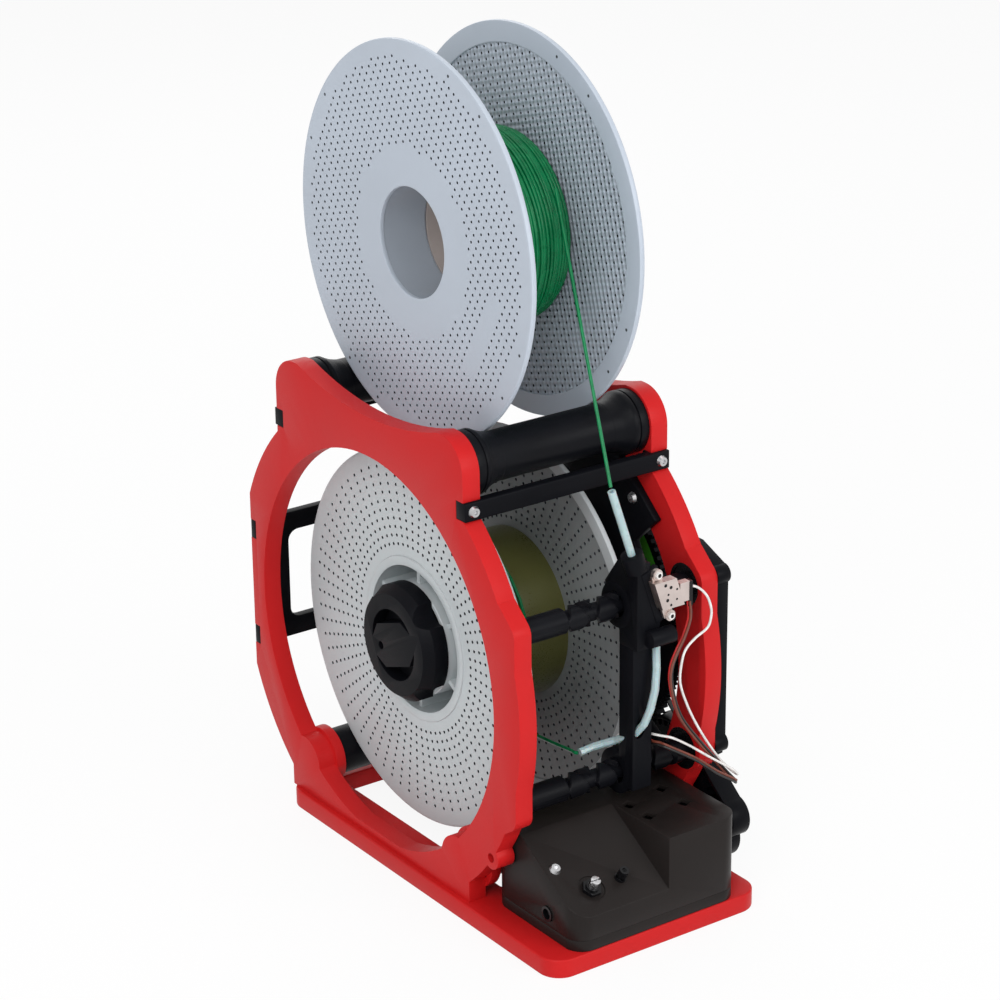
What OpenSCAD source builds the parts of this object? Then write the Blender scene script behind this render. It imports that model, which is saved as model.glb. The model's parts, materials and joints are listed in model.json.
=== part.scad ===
// Desktop filament re-spooler: a donor spool turns on two rollers, a motor winds its filament
// onto a take-up spool, and a carriage on two crossed-groove screws lays the turns side by side.
// X runs along the spool axes, -Y is the front with the control box, Z is up from the table.

/* [Base] */
// Width of the base plate
base_w = 130; // [130:1:150]
// Reach of the base plate in front of the take-up axis
base_front = 158; // [158:1:170]
// Reach of the base plate behind the take-up axis
base_rear = 84; // [84:1:95]
// Thickness of the base plate
base_t = 10; // [8:1:14]
// Radius of the base plate's corners
base_corner = 12; // [6:1:16]
// Width of the rail under each side panel
rail_w = 26; // [24:1:34]
// Width of the strip across the back of the base
rear_strip = 11; // [8:1:16]

/* [Side panels] */
// Thickness of each side panel
panel_t = 10; // [10:0.5:11]
// Clear width between the side panels
panel_gap = 103.5; // [103.5:0.1:104]
// Height of the take-up axis above the base plate
axis_h = 108; // [108:0.5:112]
// Radius of the round opening in each side panel
opening_r = 105.5; // [105:0.5:106]
// Width of the ring round the opening
ring_w = 21.5; // [20:0.5:22]
// Distance from the take-up axis to the front edge of the panels
panel_front = 123; // [122.5:0.5:124]
// Distance from the take-up axis to the back edge of the panels
panel_rear = 117; // [116:0.5:119]
// Half length of the foot that stands on the base
foot_l = 82.5; // [80:0.5:83.5]
// Radius of the shallow cradle between the rollers
cradle_r = 206; // [180:2:240]
// Lowest point of the cradle above the take-up axis
cradle_h = 126.2; // [125:0.1:128]
// Radius of the hole in the ear at the front of each foot
ear_hole_r = 2.5; // [2:0.1:3]

/* [Rollers] */
// Outer radius of the roller tubes
roller_r = 12.5; // [12:0.1:12.5]
// Radius of the collar at each end of a roller
collar_r = 16.4; // [15:0.1:17]
// Distance of the front roller in front of the take-up axis
roller_front = 64.5; // [63:0.5:66]
// Distance of the rear roller behind the take-up axis
roller_rear = 68.5; // [67:0.5:70]
// Height of both rollers above the take-up axis
roller_h = 118.5; // [118:0.5:120]
// Distance from a roller axis to the edges of the panel corner round it
corner_r = 17.5; // [17:0.5:18.5]
// Radius of the fixed axle in each roller
axle_r = 4; // [3.5:0.1:4]

/* [Spools] */
// Radius of both spools
spool_r = 100; // [92:0.5:100]
// Width of both spools
spool_w = 66.6; // [64:0.1:67]
// Thickness of a spool flange
flange_t = 3.1; // [2.5:0.1:4]
// Radius of a spool's bore
spool_bore_r = 27.8; // [27:0.1:28]
// Radius of the donor spool's barrel
donor_barrel_r = 40; // [38:0.5:42]
// Radius of the take-up spool's barrel
barrel_r = 45; // [44:0.5:47]
// Radius of the opening in the take-up spool's side
recess_r = 39; // [38:0.5:40]
// Sideways offset of the donor spool from the middle of the frame
donor_x = 1.3; // [-1:0.1:2]
// Sideways offset of the take-up spool from the middle of the frame
take_up_x = -3.2; // [-4:0.1:-3]
// Gap between the donor spool and the rollers
rolling_gap = 0.3; // [0.2:0.05:0.4]

/* [Filament] */
// Diameter of the filament
filament_d = 1.75; // [1.5:0.05:1.75]
// Outer radius of the filament still on the donor spool
wound_r = 53; // [50:0.5:56]
// Turns of the outer layer on the donor spool
wound_turns = 22; // [14:1:22]
// Turns already on the take-up spool
first_turns = 1.45; // [1.45:1:3.45]

/* [Level wind] */
// Distance of both screws in front of the take-up axis
screw_y = 109; // [108.5:0.5:109.5]
// Height of each screw above or below the take-up axis
screw_h = 45; // [44.5:0.5:45.5]
// Outer radius of the screws
screw_r = 6.5; // [6:0.1:6.6]
// Radius of the screws' journals
journal_r = 3.95; // [3.9:0.01:3.97]
// Middle of the carriage at rest
carriage_x = 15.2; // [14.4:0.2:16]
// Width of the carriage column
column_w = 11.6; // [11:0.2:12]
// Radius of the carriage's sleeves round the screws
sleeve_r = 11.8; // [11.4:0.1:12]
// Tilt of the filament's path through the carriage
path_tilt = 19; // [18:0.5:20]

/* [Drive] */
// Module of the gears between the motor and the spool
gear_m = 1.5; // [1.5:0.5:1.5]
// Teeth on the ring gear
ring_teeth = 110; // [110:1:110]
// Teeth on the large idler
large_idler_teeth = 39; // [39:1:39]
// Teeth on the small idler
small_idler_teeth = 12; // [12:1:12]
// Teeth on the motor pinion
pinion_teeth = 10; // [10:1:10]
// Module of the level-wind gears
fine_m = 1; // [1:0.5:1]
// Teeth on the level-wind pinion
wind_pinion_teeth = 13; // [13:1:13]
// Teeth on the reduction gear
reduction_teeth = 91; // [91:1:91]
// Face width of the drive gears
gear_w = 5; // [4:0.5:5]
// Radius of the take-up shaft
shaft_r = 6; // [5.5:0.1:6]
// Radius of the belt pulleys on the screws
screw_pulley_r = 6; // [5.8:0.1:6.2]
// Width of the drive belt
belt_w = 2.6; // [2:0.1:2.8]
// Thickness of the drive belt
belt_t = 1.2; // [0.8:0.1:1.2]
// Distance of the motor shaft in front of the take-up axis
motor_y = 124; // [123.5:0.5:124.5]
// Depth of the motor shaft below the take-up axis
motor_drop = 83; // [82.5:0.5:83.5]

/* [Control box] */
// Gap between the control box and each side panel
box_side_gap = 1.25; // [0.8:0.05:1.75]
// Height of the lid's top above the base plate
box_h = 46.4; // [46:0.1:47]
// Height of the top of the box's front edge above the base plate
box_nose_h = 18.6; // [17:0.2:20]
// Height of the tray under the lid
tray_h = 6; // [5:0.5:7]
// Wall of the box
box_wall = 2.2; // [1.8:0.1:2.4]
// Distance of the back of the box in front of the take-up axis
box_back = 88; // [87:0.5:89]
// Distance of the top of the slope in front of the take-up axis
slope_top = 111; // [110:0.5:112]
// Left side of the motor tower
tower_x = 5.7; // [4:0.1:6]

/* [Hidden] */
$fn = 96;
axis_z = base_t + axis_h;
inner_x = panel_gap / 2;
outer_x = inner_x + panel_t;
rim_r = opening_r + ring_w;
fit = 0.05;
seat = 0.02;

// Rollers and the donor spool that lies on them
roller_z = axis_z + roller_h;
roller_mid = (roller_rear - roller_front) / 2;
roller_half = (roller_rear + roller_front) / 2;
donor_y = roller_mid;
donor_z = roller_z + sqrt(pow(spool_r + roller_r + rolling_gap, 2) - pow(roller_half, 2));
donor_left = donor_x - spool_w / 2;
donor_inside = spool_w / 2 - flange_t;
roller_ys = [-roller_front, roller_rear];
roller_end = inner_x - 0.3;
axle_depth = 8;

// Side panels: pads, bar notches, handle notches and lumps
pad_top = 49;
pad_bottom = 46;
pad_corner = 8;
bar_h = 9.5;
bar_t = 8;
bar_z = axis_z + 101.5;
bar_front = roller_front + corner_r + 2;
bar_rear = roller_rear + corner_r + 2;
bar_seat = 4;
shoulder_z = axis_z + 60;
handle_t = 5;
handle_bar = 10.5;
handle_top = axis_z + 29.5;
handle_bottom = axis_z - 31.5;
handle_back = panel_rear;
spacer_r = 12.5;
spacer_bore = 10.3;
spacer_z = axis_z - 89.6;
spacer_ys = [-72.5, 70];
boss_r = 16;
boss_t = 5.5;
lump_r = 14;
ear_y = -101.7;
ear_z = axis_z - 74.7;
ear_r = 6;
foot_screw_ys = [-66, 0, 66];
foot_head_z = 2.5;
foot_screw_l = base_t + 1;
screw_r3 = 1.5;
head_r = 3;
head_h = 1.7;

// Bearings: 22 x 8 x 7 on the axles and screws, 28 x 12 x 8 on the take-up shaft
small_od = 11;
small_w = 7;
large_od = 14;
large_w = 8;

// Drive side: a plate on the right panel's inner face, then layers outwards along +X
plate_t = 4;
plate_x = inner_x - plate_t - seat;
plate_disc_r = 62;
plate_lap = 11.5;
plate_arm_r = opening_r + plate_lap;
hub_r = 18.5;
plate_arms = [[-29, 15, opening_r + 6.5], [180, 30, opening_r + 6]];
plate_sector = [[0, 0], [93, 20], [93, 38], [plate_arm_r, 39], [plate_arm_r, 60], [plate_arm_r, 81]];
plate_screw_r = opening_r + 3;
plate_screw_angles = [48, 72, -30, 180];
hub_left = 35;
hub_right = 55;
step_x = 55.5;
end_shaft_r = 4;
wind_x = 56;
wind_w = 4;
belt_x = outer_x + 0.75;
drive_x = outer_x + 4.6;
carrier_r = 77.3;
carrier_t = 3;
ring_bore = 70;
nut_x = drive_x + gear_w + 0.1;
shaft_left = -46.5;
shaft_right = 79;

// Gear centres round the take-up axis in the Y-Z plane
axis_c = [0, 0];
ring_r = gear_m * ring_teeth / 2;
large_idler_r = gear_m * large_idler_teeth / 2;
small_idler_r = gear_m * small_idler_teeth / 2;
pinion_r = gear_m * pinion_teeth / 2;
large_idler_angle = 180 + 43;
large_idler_c = (ring_r + large_idler_r) * [cos(large_idler_angle), sin(large_idler_angle)];
motor_c = [-motor_y, -motor_drop];
idler_to_motor = motor_c - large_idler_c;
idler_span = norm(idler_to_motor);
idler_link = large_idler_r + small_idler_r;
motor_link = small_idler_r + pinion_r;
idler_along = (pow(idler_span, 2) + pow(idler_link, 2) - pow(motor_link, 2)) / (2 * idler_span);
idler_across = sqrt(pow(idler_link, 2) - pow(idler_along, 2));
idler_u = idler_to_motor / idler_span;
small_idler_c = large_idler_c + idler_along * idler_u + idler_across * [-idler_u[1], idler_u[0]];
reduction_c = [-fine_m * (wind_pinion_teeth + reduction_teeth) / 2, 0];
pulley_ratio = 0.7;
small_pulley_r = (screw_pulley_r + belt_t / 2) * pulley_ratio - belt_t / 2;
screw_cs = [[-screw_y, screw_h], [-screw_y, -screw_h]];
belt_stops = [
    [screw_cs[1], screw_pulley_r], [reduction_c, small_pulley_r], [screw_cs[0], screw_pulley_r]
];

// Phase of a gear that meshes with another, so that a tooth meets a gap
function mesh_phase(from, from_teeth, from_phase, to, to_teeth) =
    let (line = atan2(to[1] - from[1], to[0] - from[0]), step = (line - from_phase) * from_teeth / 360)
    line + 180 - (0.5 - step) * 360 / to_teeth;
large_idler_phase = mesh_phase(axis_c, ring_teeth, 0, large_idler_c, large_idler_teeth);
small_idler_phase =
    mesh_phase(large_idler_c, large_idler_teeth, large_idler_phase, small_idler_c, small_idler_teeth);
pinion_phase = mesh_phase(small_idler_c, small_idler_teeth, small_idler_phase, motor_c, pinion_teeth);
reduction_phase = mesh_phase(axis_c, wind_pinion_teeth, 0, reduction_c, reduction_teeth);

// Covers of the belt and of the motor's gears
cover_posts = [[-118.6, 50.2], [-119, -42]];
cover_post_r = 2.2;
cover_lobe = 5;
cover_t = 8;
cover_wall = 1.6;
cover_back = -100;
motor_cover_x = outer_x + 3.5;
motor_cover_t = 10.9;
lobe_r = 9.6;

// Take-up spool, its adapter and the clamp knob
take_up_left = take_up_x - spool_w / 2;
take_up_right = take_up_x + spool_w / 2;
hub_tube_r = 30.3;
adapter_r = spool_bore_r - 0.1;
adapter_flange_r = 34;
adapter_flange_t = 3.5;
knob_back_r = 31;
knob_front_r = 27;
knob_t = 13;
knob_x = take_up_left - 0.3 - knob_t;
hub_end_t = 6;

// Turns of filament on the donor spool and on the take-up spool, and the strand between them
coil_r = wound_r - filament_d / 2;
coil_pitch = (2 * donor_inside - filament_d - 1) / wound_turns;
coil_steps = 24;
coil_x = donor_x - wound_turns * coil_pitch / 2;
wind_r = (barrel_r + filament_d / 2 + 0.15) / cos(7.5);
wind_pitch = 2.4;
strand_top = [21.5, -44.1, axis_z + 238.1];
strand_foot = [-3.6, -121.5, axis_z + 113.4];

// Carriage: column, head round its tenon, switch and tubes
column_left = carriage_x - column_w / 2;
column_front = -123;
column_t = 11;
column_bottom = axis_z - 51;
tenon_w = column_w - 4.4;
tenon_front = column_front + 2;
tenon_t = -screw_y - tenon_front;
tenon_top = axis_z + 59;
pawl_r = 2.5;
pawl_front = tenon_front + 1;
pawl_l = -screw_y - screw_r - 0.3 - pawl_front;
head_front = -126;
support_front = head_front - 0.4;
head_back = -110;
head_bottom = axis_z + 25.6;
head_top = axis_z + 71;
tube_collar_r = 5.6;
clip_r = 4.4;
clip_l = 14.6;
clip_y = head_front - 2.6;
clip_z = axis_z + 31.6;
path_y = -121.5;
path_x = carriage_x - 6;
path_z = axis_z + 75.2;
tube_r = 2;
tube_bore = 1.1;
switch_x = carriage_x + 8.6;
switch_z = axis_z + 53;
switch_pitch = 24.7;
ear_of_switch_r = 2.8;
switch_screw_r = 1;
outlet_route = [
    [24.2, -121.9, 31.4], [22.7, -123.9, 25.2], [20.9, -126.8, 13.6], [19.1, -128, 3.5],
    [16.8, -127.2, -7], [14.8, -125, -15], [13.2, -120.5, -21.2], [12.2, -113, -26], [11, -107, -29.5],
    [7, -102.4, -32], [1, -100.5, -33], [-6, -100, -34]
];

// Wires from the switch, round in front of the right panel and back behind the column:
// the white one, then the other three
white_r = 0.8;
bundle_r = 1.2;
white_route = [
    [38, -130, 55.4], [44.2, -130, 52.1], [49.4, -130, 46.5], [52.1, -130, 39.5], [52, -130, 34],
    [49.7, -130, 29.3], [41.9, -130, 25.6], [35.9, -130, 20.5], [33.4, -130, 11.3], [33.6, -130, 2.5],
    [38.9, -130, -11.5], [47.1, -129.6, -26.6], [57.8, -129, -42.6], [65.5, -129.6, -52],
    [68.6, -131.3, -55.2], [68.2, -133.4, -54.6], [62.5, -134.5, -49.2], [50, -132.5, -39.9],
    [39, -130.5, -31.4], [30, -128.8, -25.4], [25.3, -125.5, -24], [22.9, -120, -24.3],
    [22.3, -113, -25.5], [20.6, -105, -28], [17.6, -98.8, -33], [16.3, -95.7, -42], [16, -95.7, -52],
    [16, -96, -60.6]
];
bundle_route = [
    [38, -130.2, 47.2], [38.6, -130.2, 38], [35.4, -130.2, 29.2], [30.8, -130.2, 21.5],
    [27.8, -130.2, 15], [27, -130.2, 7.5], [29.3, -130.2, -3.8], [33.8, -130.2, -15.1],
    [42.8, -130.3, -27.9], [53.3, -130.4, -41.1], [62, -130.6, -52], [66.4, -131.6, -57.4],
    [66.8, -133.6, -58.2], [63, -134.8, -55.3], [53.1, -134.8, -48.5], [40.9, -133, -38.6],
    [27.4, -130.2, -29.8], [24.6, -126, -28.4], [23.5, -120.5, -28.8], [23.2, -113, -30],
    [22.6, -104, -31.6], [20.6, -96.9, -36.4], [19, -95.2, -44], [18.8, -95.4, -52], [18.8, -96, -60.4]
];

// Control box, its controls placed from its left side
box_half_w = inner_x - box_side_gap;
box_front = base_front - 0.5;
box_corner = 10;
parting_z = base_t + tray_h;
nose_z = base_t + box_nose_h;
lid_z = base_t + box_h;
slope_a = atan2(lid_z - nose_z, box_front - slope_top);
pot_at = [18 - box_half_w, -145];
toggle_at = [35.5 - box_half_w, -145];
slope_screw_at = [6 - box_half_w, -131.4];
jack_y = -133;
jack_z = axis_z - 95.5;
vents = [[12, -117], [12.5, -132], [36, -112], [35.5, -131]];
vent_w = 6;
motor_right = box_half_w - box_wall - seat;
gearbox_l = 18;
motor_l = 20;
gearbox_r = 16.5;
can_r = 15;
output_r = 3;
board_z = base_t + box_wall + 2;
board_gap = 1.8;
post_r = 3;
post_in = box_wall + 4.3;

// ---- Helpers ----

// Extrudes an outline drawn in Y and Z along +X from x
module slab(x, thickness) {
    translate([x, 0, 0])
        rotate([90, 0, 90])
            linear_extrude(height = thickness)
                children();
}

// Cylinder along +X
module rod(x, length, radius, centre = [0, 0]) {
    translate([x, centre[0], centre[1]])
        rotate([0, 90, 0])
            cylinder(h = length, r = radius);
}

// Tube along +X
module sleeve(x, length, outer, bore, centre = [0, 0]) {
    difference() {
        rod(x, length, outer, centre);
        rod(x - 1, length + 2, bore, centre);
    }
}

// A Y-Z place counted from the take-up axis
function from_axis(place) = [place[0], axis_z + place[1]];

module round_rect(size, radius) {
    translate([radius, 0])
        square([size[0] - 2 * radius, size[1]]);
    translate([0, radius])
        square([size[0], size[1] - 2 * radius]);
    for (x = [radius, size[0] - radius], y = [radius, size[1] - radius])
        translate([x, y])
            circle(r = radius);
}

// Button-head screw, its head on +Z and its shank down -Z
module button_screw(length = 8) {
    difference() {
        cylinder(h = head_h, r1 = head_r, r2 = head_r * 0.75, $fn = 48);
        translate([0, 0, 0.6])
            cylinder(h = 2, r = 1.2, $fn = 6);
    }
    translate([0, 0, -length])
        cylinder(h = length + 0.3, r = screw_r3 - 0.1, $fn = 32);
}

// Ring bearing along +X: outer ring, inner ring and a shield between them
module ball_bearing(x, width, outer, bore, centre) {
    difference() {
        rod(x, width, outer, centre);
        rod(x - 1, width + 2, bore, centre);
        for (s = [x - 1, x + width - 0.5])
            sleeve(s, 1.5, outer - 1.6, bore + 1.5, centre);
    }
}

// Gear outline with straight-sided teeth and free play between them
module gear_outline(teeth, module_size, phase) {
    pitch_r = teeth * module_size / 2;
    root_r = pitch_r - 1.15 * module_size;
    tip_r = pitch_r + 0.75 * module_size;
    root_half = 0.9 * module_size / root_r * 180 / PI;
    tip_half = 0.3 * module_size / tip_r * 180 / PI;
    corners = [[root_r, -root_half], [tip_r, -tip_half], [tip_r, tip_half], [root_r, root_half]];
    polygon([
        for (tooth = [0:teeth - 1], corner = corners)
            let (turn = phase + tooth * 360 / teeth + corner[1])
                corner[0] * [cos(turn), sin(turn)]
    ]);
}

// Gear along +X with a bore
module gear(x, width, teeth, module_size, phase, bore, centre) {
    difference() {
        translate([0, centre[0], centre[1]])
            slab(x, width)
                gear_outline(teeth, module_size, phase);
        rod(x - 1, width + 2, bore, centre);
    }
}

// Unit vector and the swept tube built on it
function unit(v) = v / norm(v);
function cord_tangent(path, i) =
    unit(path[min(i + 1, len(path) - 1)] - path[max(i - 1, 0)]);
function cord_sides(path, i = 0, last = undef) =
    i == len(path) ? [] :
    let (
        t = cord_tangent(path, i),
        helper = abs(t[2]) > 0.9 ? [0, 1, 0] : [0, 0, 1],
        side = is_undef(last) ? unit(cross(t, helper)) : unit(last - t * (last * t))
    )
    concat([side], cord_sides(path, i + 1, side));

// Solid tube whose rings stand on the points of a path
module cord(path, radius, sides) {
    across = cord_sides(path);
    rings = [
        for (i = [0:len(path) - 1])
            let (t = cord_tangent(path, i), u = across[i], v = cross(t, u))
                for (k = [0:sides - 1])
                    path[i] + radius * (cos(k * 360 / sides) * u + sin(k * 360 / sides) * v)
    ];
    last = (len(path) - 1) * sides;
    polyhedron(
        points = rings,
        faces = concat(
            [[for (k = [0:sides - 1]) k]],
            [[for (k = [sides - 1:-1:0]) last + k]],
            [
                for (i = [0:len(path) - 2], k = [0:sides - 1])
                    let (a = i * sides + k, b = i * sides + (k + 1) % sides)
                        each [[a, b + sides, b], [a, a + sides, b + sides]]
            ]
        )
    );
}

// Route points are given with their height counted from the take-up axis
function raised(route) = [for (p = route) [p[0], p[1], p[2] + axis_z]];

// Cylinder from one point to another
module strut(from, to, radius) {
    run = to - from;
    translate(from)
        rotate([0, acos(run[2] / norm(run)), atan2(run[1], run[0])])
            cylinder(h = norm(run), r = radius);
}

// ---- Frame ----

module base_plate() {
    color("firebrick")
        difference() {
            translate([-base_w / 2, -base_front, 0])
                linear_extrude(height = base_t)
                    round_rect([base_w, base_front + base_rear], base_corner);
            translate([-base_w / 2 + rail_w, -box_back + 8, -1])
                linear_extrude(height = base_t + 2)
                    round_rect([base_w - 2 * rail_w, box_back - 8 + base_rear - rear_strip], 3);
            for (side = [-1, 1], y = foot_screw_ys)
                translate([side * (inner_x + panel_t / 2), y, -1]) {
                    cylinder(h = base_t + 2, r = screw_r3);
                    cylinder(h = 1 + foot_head_z, r = head_r + 0.3);
                }
        }
}

module panel_body() {
    intersection() {
        translate([0, axis_z])
            circle(r = rim_r, $fn = 180);
        translate([-rim_r, base_t])
            square([rim_r + panel_rear, 2 * rim_r]);
    }
    for (z = [pad_top, -pad_bottom])
        translate([-panel_front + pad_corner, axis_z + z])
            circle(r = pad_corner);
    translate([-panel_front, axis_z - pad_bottom])
        square([ring_w, pad_top + pad_bottom]);
    polygon([
        [-120.5, axis_z + 54.8], [-110, axis_z + 64], [-100, axis_z + 60], [-100, axis_z - 65],
        [-107, axis_z - 61.4], [-120.5, axis_z - 51.8]
    ]);
    translate([-roller_front - corner_r, shoulder_z])
        square([roller_front + roller_rear + 2 * corner_r, roller_z - shoulder_z]);
    translate([-roller_front, roller_z])
        square([roller_front + roller_rear, corner_r]);
    for (y = roller_ys)
        translate([y, roller_z])
            circle(r = corner_r);
    translate([-foot_l, base_t])
        square([2 * foot_l, 40]);
    translate([ear_y, ear_z])
        circle(r = ear_r);
    polygon([
        [ear_y - ear_r, ear_z], [ear_y - 1, ear_z + 12], [ear_y + 14, ear_z + 12],
        [-foot_l, axis_z - 95.3], [ear_y + 3.4, ear_z - 4.9]
    ]);
}

module panel_cuts() {
    difference() {
        translate([0, axis_z])
            circle(r = opening_r, $fn = 180);
        for (y = spacer_ys)
            translate([y, spacer_z])
                circle(r = lump_r);
        translate([-foot_l, base_t])
            square([2 * foot_l, axis_z - opening_r - base_t + 2]);
    }
    translate([roller_mid, axis_z + cradle_h + cradle_r])
        circle(r = cradle_r, $fn = 240);
    translate([ear_y, ear_z])
        circle(r = ear_hole_r);
    for (y = [-bar_front - 1, bar_rear - bar_t - seat])
        translate([y, bar_z - bar_h / 2 - seat])
            square([bar_t + 1 + seat, bar_h + 2 * seat]);
    for (z = [handle_top, handle_bottom])
        translate([handle_back - handle_t - seat, z - handle_bar / 2 - seat])
            square([handle_t + 2, handle_bar + 2 * seat]);
}

// Side panel, drawn for the left; side is -1 on the left and 1 on the right
module side_panel(side) {
    left = side < 0;
    boss_x = left ? -inner_x - seat : inner_x - boss_t - 1;
    axle_x = left ? -inner_x - axle_depth : inner_x - 1;
    bearing_x = left ? -inner_x - small_w - seat : inner_x - 1;
    difference() {
        union() {
            slab(left ? -outer_x : inner_x, panel_t)
                difference() {
                    panel_body();
                    panel_cuts();
                }
            for (y = spacer_ys)
                rod(left ? -inner_x : inner_x - boss_t, boss_t, boss_r, [y, spacer_z]);
        }
        for (y = spacer_ys)
            rod(boss_x, boss_t + 1 + seat, spacer_r + fit, [y, spacer_z]);
        for (y = roller_ys)
            rod(axle_x, axle_depth + 1, axle_r + 0.03, [y, roller_z]);
        for (c = screw_cs) {
            rod(bearing_x, small_w + 1 + seat, small_od + 0.03, from_axis(c));
            if (!left)
                rod(inner_x, panel_t + 1, 6, from_axis(c));
        }
        for (y = foot_screw_ys)
            translate([side * (inner_x + panel_t / 2), y, base_t - 1])
                cylinder(h = foot_head_z + foot_screw_l + 0.5 - base_t + 1, r = screw_r3);
        for (y = [-bar_front + 1, bar_rear - 17])
            translate([side * (inner_x + panel_t / 2), y, bar_z])
                rotate([-90, 0, 0])
                    cylinder(h = 16, r = screw_r3);
        if (!left) {
            rod(inner_x - 1, panel_t + 2, 2.5, from_axis(large_idler_c));
            for (c = cover_posts)
                rod(inner_x + small_w + 0.5, panel_t, screw_r3, from_axis(c));
            for (a = plate_screw_angles)
                rod(inner_x - 1, 8, screw_r3, from_axis(plate_screw_r * [-cos(a), sin(a)]));
        }
    }
}

module left_side_panel() {
    color("crimson")
        side_panel(-1);
}

module right_side_panel() {
    color("crimson")
        side_panel(1);
}

// Square bar across the panels, its notched-in face towards them
module cross_bar(front) {
    difference() {
        translate([-outer_x, front, bar_z - bar_h / 2])
            cube([2 * outer_x, bar_t, bar_h]);
        for (side = [-1, 1])
            translate([side * (inner_x + panel_t / 2), front - 1, bar_z])
                rotate([-90, 0, 0])
                    cylinder(h = bar_t + 2, r = screw_r3);
    }
}

module front_cross_bar() {
    color("black")
        difference() {
            cross_bar(-bar_front);
            translate([-inner_x + 1, -bar_front + bar_seat + 1.5, bar_z - bar_h])
                cube([2 * inner_x - 2, bar_t, 2 * bar_h]);
        }
}

module rear_cross_bar() {
    color("black")
        difference() {
            cross_bar(bar_rear - bar_t);
            translate([-inner_x + 1, bar_rear - bar_t - 1.5, bar_z - bar_h])
                cube([2 * inner_x - 2, bar_t - bar_seat, 2 * bar_h]);
        }
}

// Lifting frame across the back, let into notches in both panels
module rear_handle() {
    window_half = inner_x - 10;
    color("black")
        difference() {
            union() {
                for (z = [handle_top, handle_bottom])
                    translate([-outer_x, handle_back - handle_t, z - handle_bar / 2])
                        cube([2 * outer_x, handle_t, handle_bar]);
                translate([-inner_x + 0.3, handle_back - handle_t, handle_bottom])
                    cube([2 * inner_x - 0.6, handle_t, handle_top - handle_bottom]);
            }
            translate([-window_half, handle_back + 1, handle_bottom + handle_bar / 2])
                rotate([90, 0, 0])
                    linear_extrude(height = handle_t + 2)
                        round_rect([2 * window_half, handle_top - handle_bottom - handle_bar], 6);
        }
}

module spacer_tube(y) {
    color("black")
        sleeve(-inner_x, 2 * inner_x, spacer_r, spacer_bore, [y, spacer_z]);
}

module front_spacer_tube() {
    spacer_tube(spacer_ys[0]);
}

module rear_spacer_tube() {
    spacer_tube(spacer_ys[1]);
}

module frame_screws() {
    color("silver") {
        for (side = [-1, 1]) {
            translate([side * (inner_x + panel_t / 2), -bar_front, bar_z])
                rotate([90, 0, 0])
                    button_screw(14);
            translate([side * (inner_x + panel_t / 2), bar_rear, bar_z])
                rotate([-90, 0, 0])
                    button_screw(14);
            for (y = foot_screw_ys)
                translate([side * (inner_x + panel_t / 2), y, foot_head_z])
                    rotate([180, 0, 0])
                        button_screw(foot_screw_l);
        }
        for (a = plate_screw_angles)
            translate(concat([plate_x], from_axis(plate_screw_r * [-cos(a), sin(a)])))
                rotate([0, -90, 0])
                    button_screw(9);
    }
}

module roller_axles() {
    color("silver")
        for (y = roller_ys)
            rod(-inner_x - axle_depth + 0.1, 2 * (inner_x + axle_depth - 0.1), axle_r, [y, roller_z]);
}

module roller_bearings() {
    color("silver")
        for (y = roller_ys, x = [-inner_x + seat, inner_x - small_w - seat])
            ball_bearing(x, small_w, small_od, axle_r + 0.02, [y, roller_z]);
}

module lead_screw_bearings() {
    color("silver")
        for (c = screw_cs, x = [-inner_x - small_w, inner_x])
            ball_bearing(x, small_w, small_od, journal_r + fit, from_axis(c));
}

// ---- Rollers ----

module roller(y) {
    color("black")
        difference() {
            translate([-roller_end, y, roller_z])
                rotate([0, 90, 0])
                    rotate_extrude()
                        roller_profile();
            rod(-roller_end - 1, 2 * roller_end + 2, roller_r - 3, [y, roller_z]);
            for (x = [-roller_end - 1, roller_end - small_w - 0.3])
                rod(x, small_w + 1.3, small_od + fit, [y, roller_z]);
        }
}

// Half section of a roller: a tube that flares into a grooved collar at each end
module roller_profile() {
    flare = collar_r - roller_r;
    flare_from = 18.5;
    collar_w = 7.5;
    difference() {
        square([collar_r, 2 * roller_end]);
        translate([roller_r, flare_from])
            square([flare + 1, 2 * roller_end - 2 * flare_from]);
        for (end = [0, 1])
            translate([0, end * 2 * roller_end])
                mirror([0, end, 0]) {
                    polygon([
                        [collar_r + 1, collar_w], [collar_r, collar_w], [collar_r - 1.2, collar_w + 2.2],
                        [collar_r - 2.6, collar_w + 5.4], [roller_r + 0.4, collar_w + 8.8],
                        [roller_r, flare_from + 0.01], [collar_r + 1, flare_from + 0.01]
                    ]);
                    translate([collar_r - 0.7, 4.6])
                        square([2, 1]);
                }
    }
}

module front_roller() {
    roller(roller_ys[0]);
}

module rear_roller() {
    roller(roller_ys[1]);
}

// ---- Spools ----

// Both flanges, left and right of the middle x
module flanges(x, centre, bore) {
    for (s = [x - spool_w / 2, x + spool_w / 2 - flange_t])
        sleeve(s, flange_t, spool_r, bore, centre);
    for (s = [x - spool_w / 2 + flange_t - 0.1, x + spool_w / 2 - flange_t - 0.9])
        sleeve(s, 1, spool_r - 8, spool_r - 9.2, centre);
}

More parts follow.
